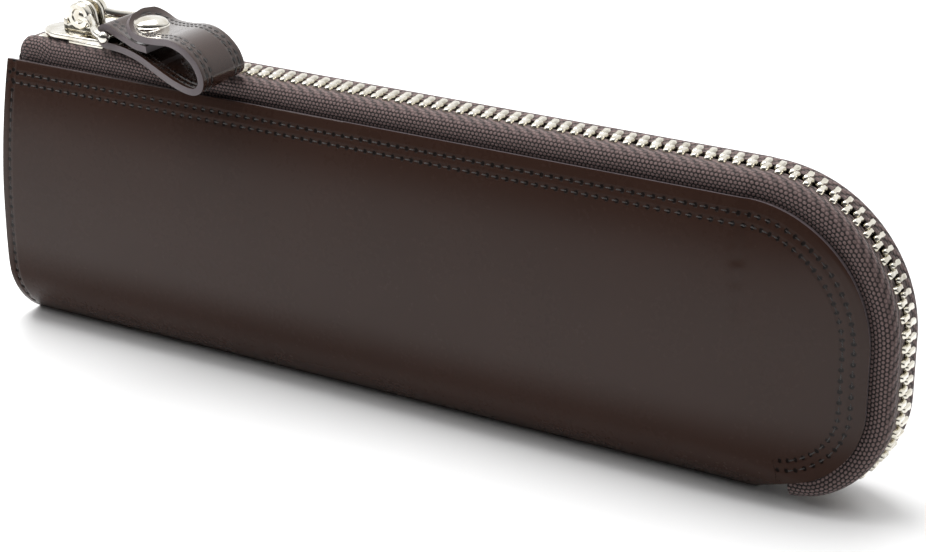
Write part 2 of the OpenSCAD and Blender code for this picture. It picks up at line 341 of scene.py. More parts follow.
@dataclass(frozen=True)
class GlossyLeather:
    """Smooth waxed leather with fine pores, dented and darkened where it is stitched; the darkening is painted shade in
    the stitch holes, and the coat fades out towards the bottom to paint the dark band of shade along the belly.
    """

    name: str
    deep: Colour = (0.026, 0.0122, 0.0082)
    warm: Colour = (0.04, 0.0192, 0.0135)
    roughness: float = 0.27
    coat: float = 0.42
    coat_roughness: float = 0.16
    # Height in millimetres below which the coat fades out; this paints the dark band of shade along the belly.
    shade_band_below: float = 15.0
    rows: tuple[float, ...] = ()
    end_row: float | None = None
    pitch: float = 2.1

    def build(self) -> bpy.types.Material:
        """Returns the material."""
        g = Graph(self.name)
        cloud = g.noise(38.0, 3.0)
        fleck = g.noise(900.0, 2.0)
        pores = g.cells(2600.0).below(0.22, 0.16)
        colour = g.mix(cloud * 0.75 + fleck * 0.25, self.deep, self.warm)
        grain = g.noise(1500.0, 3.0) * 0.6 - pores * 0.5
        normal = g.bump(g.noise(150.0, 2.0), 0.06, 0.0006)
        normal = g.bump(grain, 0.05, 0.0002, normal)
        roughness = self.roughness + (g.noise(60.0, 3.0) - 0.5) * 0.09 + (fleck - 0.5) * 0.05
        height = Term(g, g.node("ShaderNodeSeparateXYZ", inputs={0: g.object_place()}).outputs[2]) / MM
        # Painted shade: the coat fades out low on the leather to give the belly its dark band, standing in for the
        # reflected shade of the floor near the case.
        coat_faded_for_shade = 1.0 - height.below(self.shade_band_below, 5.0)
        if self.rows:
            along, across = g.along_across("edge")
            holes, groove = self._row(along, across - self.rows[0])
            for row in self.rows[1:]:
                more, deeper = self._row(along + 0.4 * self.pitch, across - row)
                holes, groove = holes.most(more), groove.most(deeper)
            if self.end_row is not None:
                split = g.node("ShaderNodeSeparateXYZ", inputs={0: g.object_place()})
                height = Term(g, split.outputs[2]) / MM
                more, deeper = self._row(height, Term(g, split.outputs[0]) / MM - self.end_row)
                holes, groove = holes.most(more), groove.most(deeper)
            normal = g.bump(1.0 - groove, 0.55, 0.00022, normal)
            normal = g.bump(1.0 - holes, 0.9, 0.00045, normal)
            # Painted shade: the stitch holes are darkened almost to black, standing in for the shade inside them.
            colour = g.mix(holes * 0.88, colour, (0.0022, 0.0012, 0.0009))
            roughness = (roughness + holes * 0.4).least(0.9)
        return g.dress(
            Base_Color=colour,
            Roughness=roughness,
            Normal=normal,
            IOR=1.45,
            Specular_IOR_Level=0.08,
            Coat_Weight=coat_faded_for_shade * self.coat,
            Coat_Roughness=self.coat_roughness,
        )

    def _row(self, along: Term, across: Term) -> tuple[Term, Term]:
        """Returns the holes and the shallow groove of one stitched row."""
        step = ((along / self.pitch).part() - 0.5) * self.pitch
        apart = (step * step + across * across).root()
        return apart.below(0.41, 0.13), across.abs().below(0.5, 0.35)


@dataclass(frozen=True)
class CutEdge:
    """The painted cut edge of leather, lighter and mat, with faint layers along it."""

    name: str
    low: Colour = (0.07, 0.054, 0.058)
    high: Colour = (0.135, 0.108, 0.117)

    def build(self) -> bpy.types.Material:
        """Returns the material."""
        g = Graph(self.name)
        mottled = g.noise(700.0, 3.0)
        colour = g.mix(mottled * 0.6 + g.noise(90.0, 2.0) * 0.4, self.low, self.high)
        return g.dress(
            Base_Color=colour,
            Roughness=0.42 + mottled * 0.2,
            Normal=g.bump(g.noise(1800.0, 3.0), 0.25, 0.00015),
            Specular_IOR_Level=0.5,
            Coat_Weight=0.15,
            Coat_Roughness=0.3,
        )


@dataclass(frozen=True)
class Suede:
    """Soft split leather for the lining."""

    name: str
    low: Colour = (0.17, 0.105, 0.058)
    high: Colour = (0.3, 0.2, 0.12)

    def build(self) -> bpy.types.Material:
        """Returns the material."""
        g = Graph(self.name)
        nap = g.noise(1100.0, 4.0, roughness=0.65)
        colour = g.mix(nap * 0.6 + g.noise(45.0, 2.0) * 0.4, self.low, self.high)
        return g.dress(
            Base_Color=colour,
            Roughness=0.95,
            Normal=g.bump(nap, 0.5, 0.0003),
            Sheen_Weight=0.35,
            Sheen_Roughness=0.5,
            Specular_IOR_Level=0.2,
        )


@dataclass(frozen=True)
class ZipTape:
    """Woven tape: coarse grains everywhere, gathered in slanting ridges beside the teeth, coloured with painted shade
    in the gaps between threads.
    """

    name: str
    low: Colour = (0.007, 0.0042, 0.0038)
    high: Colour = (0.225, 0.152, 0.144)
    ridge_to: float = 4.9
    ridge_pitch: float = 2.45
    ridge_slant: float = 1.3
    grain_along: float = 0.86
    grain_across: float = 0.74

    def build(self) -> bpy.types.Material:
        """Returns the material."""
        g = Graph(self.name)
        along, across = g.along_across("tape")
        turn = 2.0 * math.pi
        # Grains: two crossed sets of threads, each row shifted by half a grain
        row = across / self.grain_across
        shift = (row.whole() * 0.5).part()
        tip = ((along / self.grain_along + shift).part() - 0.5).abs() * 2.0
        side = (row.part() - 0.5).abs() * 2.0
        grains = (tip * tip + side * side).below(0.6, 0.42)
        ridge = ((along - across * self.ridge_slant) * (turn / self.ridge_pitch)).sin() * 0.5 + 0.5
        near_teeth = across.below(self.ridge_to, 0.9)
        ridged = ridge * 0.62 + grains * 0.38
        cloth = ridged * near_teeth + grains * (1.0 - near_teeth)
        fibre = g.noise(4200.0, 2.0)
        # Painted shade: the colour follows the weave's relief, near black in the gaps between threads and lightest on
        # their tops; the fibre noise adds the threads' own uneven tone.
        fibre_tone_and_weave_shade = (cloth * 0.8 + (fibre - 0.5) * 0.3 + 0.02).most(0.0)
        colour = g.mix(fibre_tone_and_weave_shade, self.low, self.high)
        normal = g.bump(cloth, 0.85, 0.0002)
        normal = g.bump(fibre, 0.35, 0.00006, normal)
        return g.dress(
            Base_Color=colour,
            Roughness=0.72,
            Normal=normal,
            Sheen_Weight=0.15,
            Sheen_Roughness=0.4,
            Specular_IOR_Level=0.35,
        )


@dataclass(frozen=True)
class Nickel:
    """Bright nickel plate with a warm tone, faint clouding and hairline scratches."""

    name: str
    clean: Colour = (0.83, 0.8, 0.72)
    dull: Colour = (0.6, 0.56, 0.47)
    roughness: float = 0.17

    def build(self) -> bpy.types.Material:
        """Returns the material."""
        g = Graph(self.name)
        cloud = g.noise(420.0, 3.0)
        stretch = g.node(
            "ShaderNodeMapping", inputs={"Vector": g.object_place(), "Scale": (260.0, 5200.0, 5200.0)}
        ).outputs[0]
        hair = g.noise(1.0, 2.0, stretch)
        return g.dress(
            Base_Color=g.mix(cloud.below(0.5, 0.3), self.clean, self.dull),
            Metallic=1.0,
            Roughness=self.roughness + (cloud - 0.5) * 0.16,
            Normal=g.bump(hair, 0.1, 0.00005),
        )


@dataclass(frozen=True)
class Thread:
    """Waxed sewing thread, two plies twisted along each stitch, with painted shade in the grooves between the plies."""

    name: str
    low: Colour = (0.005, 0.003, 0.0025)
    high: Colour = (0.016, 0.01, 0.008)

    def build(self) -> bpy.types.Material:
        """Returns the material."""
        g = Graph(self.name)
        split = g.node("ShaderNodeSeparateXYZ", inputs={0: g.object_place()})
        ply = ((Term(g, split.outputs[0]) + Term(g, split.outputs[2])) * (2.0 * math.pi / 0.00042)).sin() * 0.5 + 0.5
        # Painted shade: the colour darkens in the grooves between the plies; the noise adds the thread's own uneven
        # tone.
        return g.dress(
            Base_Color=g.mix(ply * 0.7 + g.noise(2500.0) * 0.3, self.low, self.high),
            Roughness=0.5,
            Normal=g.bump(ply, 0.5, 0.00012),
            Sheen_Weight=0.2,
            Coat_Weight=0.1,
        )


# ---------------------------------------------------------------------------------------------------------------------
# Mesh helpers
# ---------------------------------------------------------------------------------------------------------------------


def finish_mesh(mesh: bpy.types.Mesh, sharp_from: float) -> None:
    """Shades a mesh smooth except over sharp edges.

    Args:
        mesh: The mesh.
        sharp_from: Angle in degrees from which an edge is sharp.
    """
    bm = bmesh.new()
    bm.from_mesh(mesh)
    for face in bm.faces:
        face.smooth = True
    for edge in bm.edges:
        edge.smooth = len(edge.link_faces) == 2 and edge.calc_face_angle(0.0) < math.radians(sharp_from)
    bm.to_mesh(mesh)
    bm.free()


def make_piece(
    name: str,
    points: Array,
    faces: Sequence[Sequence[int]],
    finishes: Sequence[bpy.types.Material],
    slots: Sequence[int] | None = None,
    maps: dict[str, Array] | None = None,
    sharp_from: float = 35.0,
) -> bpy.types.Object:
    """Makes an object at the origin from points in millimetres.

    Args:
        name: The piece's name.
        points: Places in millimetres, one row each.
        faces: Corner numbers of each face.
        finishes: The materials.
        slots: The material number of each face, or None for the first.
        maps: UV maps, each as two numbers a point.
        sharp_from: Angle in degrees from which an edge stays sharp.

    Returns:
        The new object.
    """
    mesh = bpy.data.meshes.new(name)
    mesh.from_pydata((np.asarray(points, float) * MM).tolist(), [], [list(f) for f in faces])
    for finish in finishes:
        mesh.materials.append(finish)
    if slots is not None:
        mesh.polygons.foreach_set("material_index", np.asarray(slots, np.int32))
    corner = np.zeros(len(mesh.loops), np.int32)
    mesh.loops.foreach_get("vertex_index", corner)
    for map_name, values in (maps or {}).items():
        layer = mesh.uv_layers.new(name=map_name)
        layer.data.foreach_set("uv", np.asarray(values, np.float32)[corner].ravel())
    finish_mesh(mesh, sharp_from)
    piece = bpy.data.objects.new(name, mesh)
    bpy.context.scene.collection.objects.link(piece)
    return piece


def round_edges(
    piece: bpy.types.Object, width: float, steps: int, chosen: Callable[[Vector], bool], sharp_from: float = 35.0
) -> None:
    """Rounds the sharp edges of a piece whose middle a test accepts.

    Args:
        piece: The piece.
        width: Width of the rounding in millimetres.
        steps: Faces across the rounding.
        chosen: Says for the middle of an edge, in millimetres, whether it is rounded.
        sharp_from: Angle in degrees from which an edge is sharp.
    """
    bm = bmesh.new()
    bm.from_mesh(piece.data)
    limit = math.radians(sharp_from)
    edges = [
        e
        for e in bm.edges
        if len(e.link_faces) == 2
        and e.calc_face_angle(0.0) > limit
        and chosen((e.verts[0].co + e.verts[1].co) / (2 * MM))
    ]
    bmesh.ops.bevel(
        bm, geom=edges, offset=width * MM, segments=steps, profile=0.5, affect="EDGES", clamp_overlap=True
    )
    bm.to_mesh(piece.data)
    bm.free()
    finish_mesh(piece.data, sharp_from)


def grid_faces(rows: int, cols: int, start: int = 0, flip: bool = False) -> list[tuple[int, ...]]:
    """Returns the quads of a grid of points numbered row by row.

    Args:
        rows: Number of rows.
        cols: Number of columns.
        start: Number of the first point.
        flip: Whether the faces point the other way.

    Returns:
        The faces.
    """
    faces = []
    for i in range(rows - 1):
        for j in range(cols - 1):
            a = start + i * cols + j
            quad = (a, a + 1, a + cols + 1, a + cols)
            faces.append(quad[::-1] if flip else quad)
    return faces


def slab(outer: Array, inner: Array, flip: bool) -> tuple[Array, list[tuple[int, ...]], list[int]]:
    """Closes two matching grids into a solid sheet.

    Args:
        outer: Points of the outer face, rows × columns × 3.
        inner: Points of the inner face.
        flip: Whether the outer face's quads are turned to point outwards.

    Returns:
        The points, the faces, and for each face 0 on the faces and 1 on the rim.
    """
    rows, cols = outer.shape[:2]
    count = rows * cols
    points = np.vstack([outer.reshape(-1, 3), inner.reshape(-1, 3)])
    faces = grid_faces(rows, cols, 0, flip) + grid_faces(rows, cols, count, not flip)
    slots = [0] * len(faces)
    ring = (
        [j for j in range(cols)]
        + [i * cols + cols - 1 for i in range(1, rows)]
        + [(rows - 1) * cols + j for j in range(cols - 2, -1, -1)]
        + [i * cols for i in range(rows - 2, 0, -1)]
    )
    for a, b in zip(ring, ring[1:] + ring[:1]):
        quad = (b, a, a + count, b + count)
        faces.append(quad[::-1] if flip else quad)
        slots.append(1)
    return points, faces, slots


def face_outwards(piece: bpy.types.Object) -> None:
    """Turns every face of a closed piece outwards.

    Args:
        piece: The piece whose mesh is corrected in place.
    """
    bm = bmesh.new()
    bm.from_mesh(piece.data)
    bmesh.ops.recalc_face_normals(bm, faces=bm.faces)
    bm.to_mesh(piece.data)
    bm.free()


def ease(t: Array | float) -> Array | float:
    """Returns a smooth turn from 0 to 1."""
    c = np.clip(t, 0.0, 1.0)
    return c * c * (3 - 2 * c)


def smooth_route(route: Array, steps: int) -> Array:
    """Returns a smooth curve through the points of a route.

    Args:
        route: The points, one row each.
        steps: Steps between two points.

    Returns:
        The curve's points.
    """
    ends = np.vstack([2 * route[0] - route[1], route, 2 * route[-1] - route[-2]])
    made = []
    for i in range(len(route) - 1):
        a, b, c, d = ends[i : i + 4]
        for k in range(steps):
            t = k / steps
            made.append(b + 0.5 * t * ((c - a) + t * ((2 * a - 5 * b + 4 * c - d) + t * (3 * (b - c) + d - a))))
    made.append(route[-1])
    return np.array(made)


def lathe(profile: Sequence[tuple[float, float]], centre: Sequence[float], axis: str, steps: int = 32) -> tuple:
    """Turns a profile into a closed solid.

    Args:
        profile: Pairs of radius and place along the axis, from one pole to the other; both ends have radius 0.
        centre: The middle, in millimetres.
        axis: "X", "Y" or "Z".
        steps: Faces round.

    Returns:
        The points and faces.
    """
    angles = np.linspace(0, 2 * math.pi, steps, endpoint=False)
    points = [(0.0, 0.0, profile[0][1])]
    for radius, place in profile[1:-1]:
        points += [(radius * math.cos(a), radius * math.sin(a), place) for a in angles]
    points.append((0.0, 0.0, profile[-1][1]))
    rings = len(profile) - 2
    faces: list[tuple[int, ...]] = [(0, 1 + (k + 1) % steps, 1 + k) for k in range(steps)]
    for r in range(rings - 1):
        for k in range(steps):
            a, b = 1 + r * steps + k, 1 + r * steps + (k + 1) % steps
            faces.append((a, b, b + steps, a + steps))
    last = len(points) - 1
    base = 1 + (rings - 1) * steps
    faces += [(last, base + k, base + (k + 1) % steps) for k in range(steps)]
    p = np.array(points)
    if profile[0][1] > profile[-1][1]:
        faces = [f[::-1] for f in faces]
    order = {"X": [2, 0, 1], "Y": [1, 2, 0], "Z": [0, 1, 2]}[axis]
    return p[:, order] + np.array(centre, float), faces


def join(parts: Sequence[tuple[Array, Sequence[Sequence[int]]]]) -> tuple[Array, list[tuple[int, ...]]]:
    """Puts several closed shapes in one mesh.

    Args:
        parts: Points and faces of each.

    Returns:
        All points and faces.
    """
    points, faces, start = [], [], 0
    for p, f in parts:
        points.append(np.asarray(p, float))
        faces += [tuple(i + start for i in face) for face in f]
        start += len(p)
    return np.vstack(points), faces


def prism(outline: Array, low: float, high: float) -> tuple[Array, list[tuple[int, ...]]]:
    """Raises an outline, drawn anticlockwise in X and Y, between two heights.

    Args:
        outline: The outline's points.
        low: Lower height.
        high: Upper height.

    Returns:
        The points and faces.
    """
    n = len(outline)
    p = np.vstack([np.c_[outline, np.full(n, low)], np.c_[outline, np.full(n, high)]])
    faces: list[tuple[int, ...]] = [tuple(range(n - 1, -1, -1)), tuple(range(n, 2 * n))]
    faces += [(i, (i + 1) % n, n + (i + 1) % n, n + i) for i in range(n)]
    return p, faces


# ---------------------------------------------------------------------------------------------------------------------
# Repeats along a line, with Geometry Nodes
# ---------------------------------------------------------------------------------------------------------------------


class RowMaker:
    """A Geometry Nodes tree that sets a copy of a small shape at each step of a line and turns it along the line."""

    def __init__(self) -> None:
        """Builds the tree."""
        tree = bpy.data.node_groups.new("row_along_a_line", "GeometryNodeTree")
        face = tree.interface
        face.new_socket("Line", in_out="INPUT", socket_type="NodeSocketGeometry")
        self.inputs = {
            label: face.new_socket(label, in_out="INPUT", socket_type=kind).identifier
            for label, kind in (
                ("Shape", "NodeSocketObject"),
                ("Pitch", "NodeSocketFloat"),
                ("Unevenness", "NodeSocketFloat"),
                ("Seed", "NodeSocketInt"),
                ("Finish", "NodeSocketMaterial"),
            )
        }
        face.new_socket("Row", in_out="OUTPUT", socket_type="NodeSocketGeometry")
        nodes, link = tree.nodes, tree.links.new
        start, end = nodes.new("NodeGroupInput"), nodes.new("NodeGroupOutput")
        steps = nodes.new("GeometryNodeResampleCurve")
        steps.mode = "LENGTH"
        link(start.outputs["Line"], steps.inputs["Curve"])
        link(start.outputs["Pitch"], steps.inputs["Length"])
        turn = nodes.new("FunctionNodeAlignRotationToVector")
        turn.axis = "X"
        link(nodes.new("GeometryNodeInputTangent").outputs[0], turn.inputs["Vector"])
        shape = nodes.new("GeometryNodeObjectInfo")
        link(start.outputs["Shape"], shape.inputs["Object"])
        uneven = nodes.new("FunctionNodeRandomValue")
        uneven.data_type = "FLOAT_VECTOR"
        less, more = nodes.new("ShaderNodeMath"), nodes.new("ShaderNodeMath")
        less.operation, more.operation = "SUBTRACT", "ADD"
        for made in (less, more):
            made.inputs[0].default_value = 1.0
            link(start.outputs["Unevenness"], made.inputs[1])
        link(less.outputs[0], uneven.inputs["Min"])
        link(more.outputs[0], uneven.inputs["Max"])
        link(start.outputs["Seed"], uneven.inputs["Seed"])
        copies = nodes.new("GeometryNodeInstanceOnPoints")
        link(steps.outputs["Curve"], copies.inputs["Points"])
        link(shape.outputs["Geometry"], copies.inputs["Instance"])
        link(turn.outputs[0], copies.inputs["Rotation"])
        link(uneven.outputs["Value"], copies.inputs["Scale"])
        real = nodes.new("GeometryNodeRealizeInstances")
        finish = nodes.new("GeometryNodeSetMaterial")
        link(copies.outputs[0], real.inputs[0])
        link(real.outputs[0], finish.inputs["Geometry"])
        link(start.outputs["Finish"], finish.inputs["Material"])
        link(finish.outputs[0], end.inputs[0])
        self.tree = tree

    def build(
        self,
        name: str,
        lines: Sequence[Array],
        shape: tuple[Array, Sequence[Sequence[int]]],
        pitch: float,
        finish: bpy.types.Material,
        uneven: float = 0.0,
        sharp_from: float = 40.0,
    ) -> bpy.types.Object:
        """Makes one plain mesh of copies along lines.

        Args:
            name: The piece's name.
            lines: Each line's points, in millimetres.
            shape: Points in millimetres and faces of one copy, with X along the line.
            pitch: Distance between copies, in millimetres.
            finish: The material.
            uneven: Largest random change of a copy's size, as a share.
            sharp_from: Angle in degrees from which an edge stays sharp.

        Returns:
            The piece.
        """
        curve = bpy.data.curves.new(name + "_line", "CURVE")
        curve.dimensions = "3D"
        for line in lines:
            spline = curve.splines.new("POLY")
            spline.points.add(len(line) - 1)
            spline.points.foreach_set("co", np.c_[line * MM, np.ones(len(line))].astype(np.float32).ravel())
        holder = bpy.data.objects.new(name + "_line", curve)
        bpy.context.scene.collection.objects.link(holder)
        copy = make_piece(name + "_copy", shape[0], shape[1], [finish], sharp_from=sharp_from)
        rows = holder.modifiers.new("rows", "NODES")
        rows.node_group = self.tree
        for label, value in (
            ("Shape", copy),
            ("Pitch", pitch * MM),
            ("Unevenness", uneven),
            ("Seed", 7),
            ("Finish", finish),
        ):
            rows[self.inputs[label]] = value
        bpy.context.view_layer.update()
        graph = bpy.context.evaluated_depsgraph_get()
        mesh = bpy.data.meshes.new_from_object(holder.evaluated_get(graph))
        mesh.name = name
        piece = bpy.data.objects.new(name, mesh)
        bpy.context.scene.collection.objects.link(piece)
        for used in (holder, copy):
            bpy.data.objects.remove(used)
        if not mesh.materials:
            mesh.materials.append(finish)
        return piece


# ---------------------------------------------------------------------------------------------------------------------
# The form of the case
# ---------------------------------------------------------------------------------------------------------------------


@dataclass(frozen=True)
class CaseForm:
    """The curved form that the leather, lining and tape follow, in millimetres."""

    left: float
    right: float
    height: float
    half_full: float
    half_edge: float = 7.9
    full_z: float = 22.0
    base_half: float = 3.2
    belly_r: float = 18.0
    top_r: float = 25.0
    low_r: float = 16.0
    low_edge_z: float = 5.5
    notch: float = 6.6
    crease_r: float = 2.5
    part_x: float = -15.0
    fan_x: float = 20.0

    @property
    def rise(self) -> float:
        """Height of the flank above the fullest line."""
        return self.height - self.full_z

    @property
    def flank_r(self) -> float:
        """Radius of the flank."""
        inward = self.half_full - self.half_edge
        return (self.rise**2 + inward**2) / (2 * inward)

    @property
    def belly(self) -> tuple[float, float]:
        """Centre of the belly arc, in Y and Z."""
        y = self.half_full - self.belly_r
        return y, math.sqrt(self.belly_r**2 - (self.base_half - y) ** 2)

    @property
    def crease_angle(self) -> float:
        """Angle by which the belly leaves the base strip."""
        y, z = self.belly
        return math.atan2(self.base_half - y, z)

    @property
    def crease_y(self) -> float:
        """Where the base strip ends and the rounded crease starts."""
        return self.base_half - self.crease_r * math.tan(self.crease_angle / 2)

    @property
    def crease_z(self) -> float:
        """Where the crease ends."""
        return self.crease_r * (1 - math.cos(self.crease_angle))

    @property
    def top_c(self) -> tuple[float, float]:
        """Centre of the upper corner, in X and Z."""
        return self.right - self.top_r, self.height - self.top_r

    @property
    def low_c(self) -> tuple[float, float]:
        """Centre of the lower corner, in X and Z."""
        return self.right - self.low_r, self.low_edge_z + self.low_r

    @property
    def base_end(self) -> float:
        """Right end of the base strip."""
        return self.low_c[0] - self.notch

    def half_at(self, d: Array) -> Array:
        """Returns half the thickness at a distance from the zip edge."""
        away = np.clip(self.rise - np.asarray(d, float), 0.0, None)
        return self.half_full - self.flank_r + np.sqrt(self.flank_r**2 - away**2)

    @staticmethod
    def _least(a: Array, b: Array, soft: Array | float) -> Array:
        """Returns the smaller of two, turning smoothly where they meet."""
        h = np.clip(1 - np.abs(a - b) / np.maximum(soft, 1e-6), 0.0, 1.0)
        return np.minimum(a, b) - h * h * soft / 4

    def half(self, x: Array, z: Array) -> Array:
        """Returns half the thickness at places on the side view.

        Args:
            x: Along the case.
            z: Up.

        Returns:
            The distance of the outer face from the middle plane.
        """
        by, bz = self.belly
        low = by + np.sqrt(np.maximum(self.belly_r**2 - np.clip(bz - z, 0, self.belly_r) ** 2, 0))
        flank = self.half_full - self.flank_r + np.sqrt(self.flank_r**2 - (z - self.full_z) ** 2)
        section = self._least(flank, low, 0.5)
        dx, dz = x - self.top_c[0], z - self.top_c[1]
        round_d = self.top_r - np.hypot(np.clip(dx, 0, None), np.clip(dz, 0, None))
        straight = np.minimum(self.right - x, self.height - z)
        d = np.where((dx > 0) & (dz > 0), round_d, np.where(dx > 0, self.right - x, 60.0))
        soft = 1.0 * ease((x - 52.0) / 16.0)
        end = self.half_at(np.where(dx > 0, d, np.maximum(self.right - x, straight)))
        return self._least(section, end, soft)

    def face(self, x: Array, z: Array, side: Side, depth: float = 0.0) -> Array:
        """Returns points of the outer face, or of a face below it.

        Args:
            x: Along the case.
            z: Up.
            side: Which half.
            depth: Distance below the outer face.

        Returns:
            The points, with one more axis than x.
        """
        step = 0.05
        y = self.half(x, z)
        in_crease = z < self.crease_z
        angle = np.arccos(np.clip(1 - z / self.crease_r, -1, 1))
        y = np.where(in_crease, self.crease_y + self.crease_r * np.sin(angle), y)
        gx = (self.half(x + step, z) - self.half(x - step, z)) / (2 * step)
        gz = (self.half(x, z + step) - self.half(x, z - step)) / (2 * step)
        normal = np.stack([-gx, np.ones_like(gx), -gz], -1)
        normal /= np.linalg.norm(normal, axis=-1, keepdims=True)
        crease = np.stack([np.zeros_like(angle), np.sin(angle), -np.cos(angle)], -1)
        normal = np.where(in_crease[..., None], crease, normal)
        point = np.stack([x, y, z], -1) - normal * depth
        point[..., 1] *= side.value
        return point

    def edge_length(self) -> tuple[float, float, float, float]:
        """Returns the lengths of the top, the upper corner, the end and the lower corner of the zip edge."""
        return (
            self.top_c[0] - self.left,
            self.top_r * math.pi / 2,
            self.top_c[1] - self.low_c[1],
            self.low_r * math.pi / 2,
        )

    def edge(self, s: Array, rise: float | Array = 0.0) -> tuple[Array, Array, Array]:
        """Returns places along the zip edge.

        Args:
            s: Distance along the leather edge from the left end.
            rise: Distance outside the edge.

        Returns:
            X, Z and the outward angle in radians.
        """
        top, corner, end, _ = self.edge_length()
        s = np.asarray(s, float)
        a1 = math.pi / 2 - (s - top) / self.top_r
        a2 = -(s - top - corner - end) / self.low_r
        angle = np.where(s < top, math.pi / 2, np.where(s < top + corner, a1, np.where(s < top + corner + end, 0, a2)))
        low = s >= top + corner + end
        mid = (s >= top + corner) & ~low
        cx = np.where(s < top, self.left + s, np.where(low, self.low_c[0], np.where(mid, self.right, self.top_c[0])))
        down = self.top_c[1] - (s - top - corner)
        cz = np.where(s < top, self.height, np.where(low, self.low_c[1], np.where(mid, down, self.top_c[1])))
        r = np.where(low, self.low_r, np.where((s < top) | mid, 0.0, self.top_r)) + rise
        return cx + r * np.cos(angle), cz + r * np.sin(angle), angle

    def edge_place(self, x: Array, z: Array) -> Array:
        """Returns how far along the zip edge and how far inside it places are.

        Args:
            x: Along the case.
            z: Up.

        Returns:
            Pairs of distance along and distance inside.
        """
        top, corner, end, _ = self.edge_length()
        d_top, d_end = self.height - z, self.right - x
        s = np.where(d_top < d_end, x - self.left, top + corner + self.top_c[1] - z)
        d = np.minimum(d_top, d_end)
        for (cx, cz), r, start, first, flip in (
            (self.top_c, self.top_r, top, math.pi / 2, 1),
            (self.low_c, self.low_r, top + corner + end, 0.0, -1),
        ):
            inside = (x > cx) & (flip * (z - cz) > 0)
            angle = np.arctan2(z - cz, x - cx)
            s = np.where(inside, start + (first - angle) * r, s)
            d = np.where(inside, r - np.hypot(x - cx, z - cz), d)
        return np.stack([s, d], -1)

    def columns(self, inset: float, x_from: float, stretch: Stretch, pitch: float = 1.3) -> tuple[Array, Array, Array]:
        """Returns lines that run from the base to the zip edge and cover the side view.

        Args:
            inset: Distance of their upper ends inside the zip edge.
            x_from: Where the first line stands.
            stretch: Which part of the length is wanted.
            pitch: Distance between lines.

        Returns:
            X at the foot, and X and Z at the upper end.
        """
        whole = sum(self.edge_length())
        fan_s = self.fan_x - self.left
        straight = []
        if stretch is not Stretch.RIGHT:
            straight.append(np.linspace(x_from, self.part_x, round((self.part_x - x_from) / pitch) + 1))
        if stretch is not Stretch.LEFT:
            start = self.part_x
            more = np.linspace(start, self.fan_x, round((self.fan_x - start) / pitch) + 1)
            straight.append(more[1:] if straight else more)
        foot = np.concatenate(straight)
        x, z = foot.copy(), np.full(len(foot), self.height - inset)
        if stretch is not Stretch.LEFT:
            s = np.linspace(fan_s, whole, round((whole - fan_s) / pitch) + 1)[1:]
            px, pz, _ = self.edge(s, -inset)
            share = (s - fan_s) / (whole - fan_s)
            foot = np.concatenate([foot, self.fan_x + (self.base_end - inset - self.fan_x) * share])
            x, z = np.concatenate([x, px]), np.concatenate([z, pz])
        return foot, x, z

    def sheet(
        self, side: Side, depth: float, thick: float, inset: float, x_from: float, stretch: Stretch, strip: bool
    ) -> tuple[Array, Array, Array]:
        """Returns the two faces of a sheet that follows the form, and its edge map.

        Args:
            side: Which half.
            depth: Distance of its outer face below the form.
            thick: Its thickness.
            inset: Distance of its upper edge inside the zip edge.
            x_from: Where it starts.
            stretch: Which part of its length is wanted.
            strip: Whether it has the base strip.

        Returns:
            The outer grid, the inner grid and the (along, inside) map of both.
        """
        foot, top_x, top_z = self.columns(inset, x_from, stretch)
        crease = self.crease_r * (1 - np.cos(np.linspace(0, self.crease_angle, 5)))
        share = np.concatenate([[0.012, 0.03, 0.06], np.linspace(0.09, 0.93, 42), [0.96, 0.985, 1.0]])
        rows_x, rows_z = [], []
        for value in crease:
            z = np.full(len(foot), value)
            rows_z.append(z)
            rows_x.append(foot + (top_x - foot) * z / top_z)
        for value in share:
            z = self.crease_z + (top_z - self.crease_z) * value
            rows_z.append(z)
            rows_x.append(foot + (top_x - foot) * z / top_z)
        x, z = np.array(rows_x), np.array(rows_z)
        outer, inner = self.face(x, z, side, depth), self.face(x, z, side, depth + thick)
        place = self.edge_place(x, z)
        if strip:
            y = np.linspace(-self.crease_y, self.crease_y, 7)[:-1] * side.value
            flat_x = np.repeat(foot[None, :], len(y), 0)
            flat_y = np.repeat(y[:, None], len(foot), 1)
            outer = np.concatenate([np.stack([flat_x, flat_y, np.full_like(flat_x, depth)], -1), outer])
            inner = np.concatenate([np.stack([flat_x, flat_y, np.full_like(flat_x, depth + thick)], -1), inner])
            place = np.concatenate([np.repeat(place[:1], len(y), 0), place])
        return outer, inner, place


# ---------------------------------------------------------------------------------------------------------------------
# Sub-assemblies
# ---------------------------------------------------------------------------------------------------------------------


@dataclass
class Hinge:
    """Where a front piece would bend when the mouth opens, the zip staying closed at both ends and parting between
    them; it bends nothing and only bakes the pieces in place.
    """

    form: CaseForm
    left_from: float = -93.5
    right_to: float = 64.0

    def fit(self, piece: bpy.types.Object, stretch: Stretch) -> bpy.types.Object:
        """Bakes a front piece's transform in place, without bending it.

        Args:
            piece: The finished piece.
            stretch: Which half of the length it is.

        Returns:
            The piece.
        """
        if stretch is Stretch.LEFT:
            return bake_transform(piece)
        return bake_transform(piece)


def place_halves(
    side: Side,
    hinge: Hinge,
    node: str,
    build: Callable[[str, Stretch], bpy.types.Object],
) -> None:
    """Builds a piece once for the back, attached to the case, or in two halves for the front, baked in place, and hides
    its CAD node.

    Args:
        side: Which half of the case.
        hinge: Places the front halves.
        node: The CAD node it stands for.
        build: Makes the piece from a name and a stretch.
    """
    stretches = [Stretch.WHOLE] if side is Side.BACK else [Stretch.LEFT, Stretch.RIGHT]
    for stretch in stretches:
        name = node + "_skin" if stretch is Stretch.WHOLE else f"{node}_skin_{stretch.value}"
        piece = build(name, stretch)
        if stretch is Stretch.WHOLE:
            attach(piece, "case")
        else:
            hinge.fit(piece, stretch)
        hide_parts(node)
        LOG.info("%s: %d faces", name, len(piece.data.polygons))


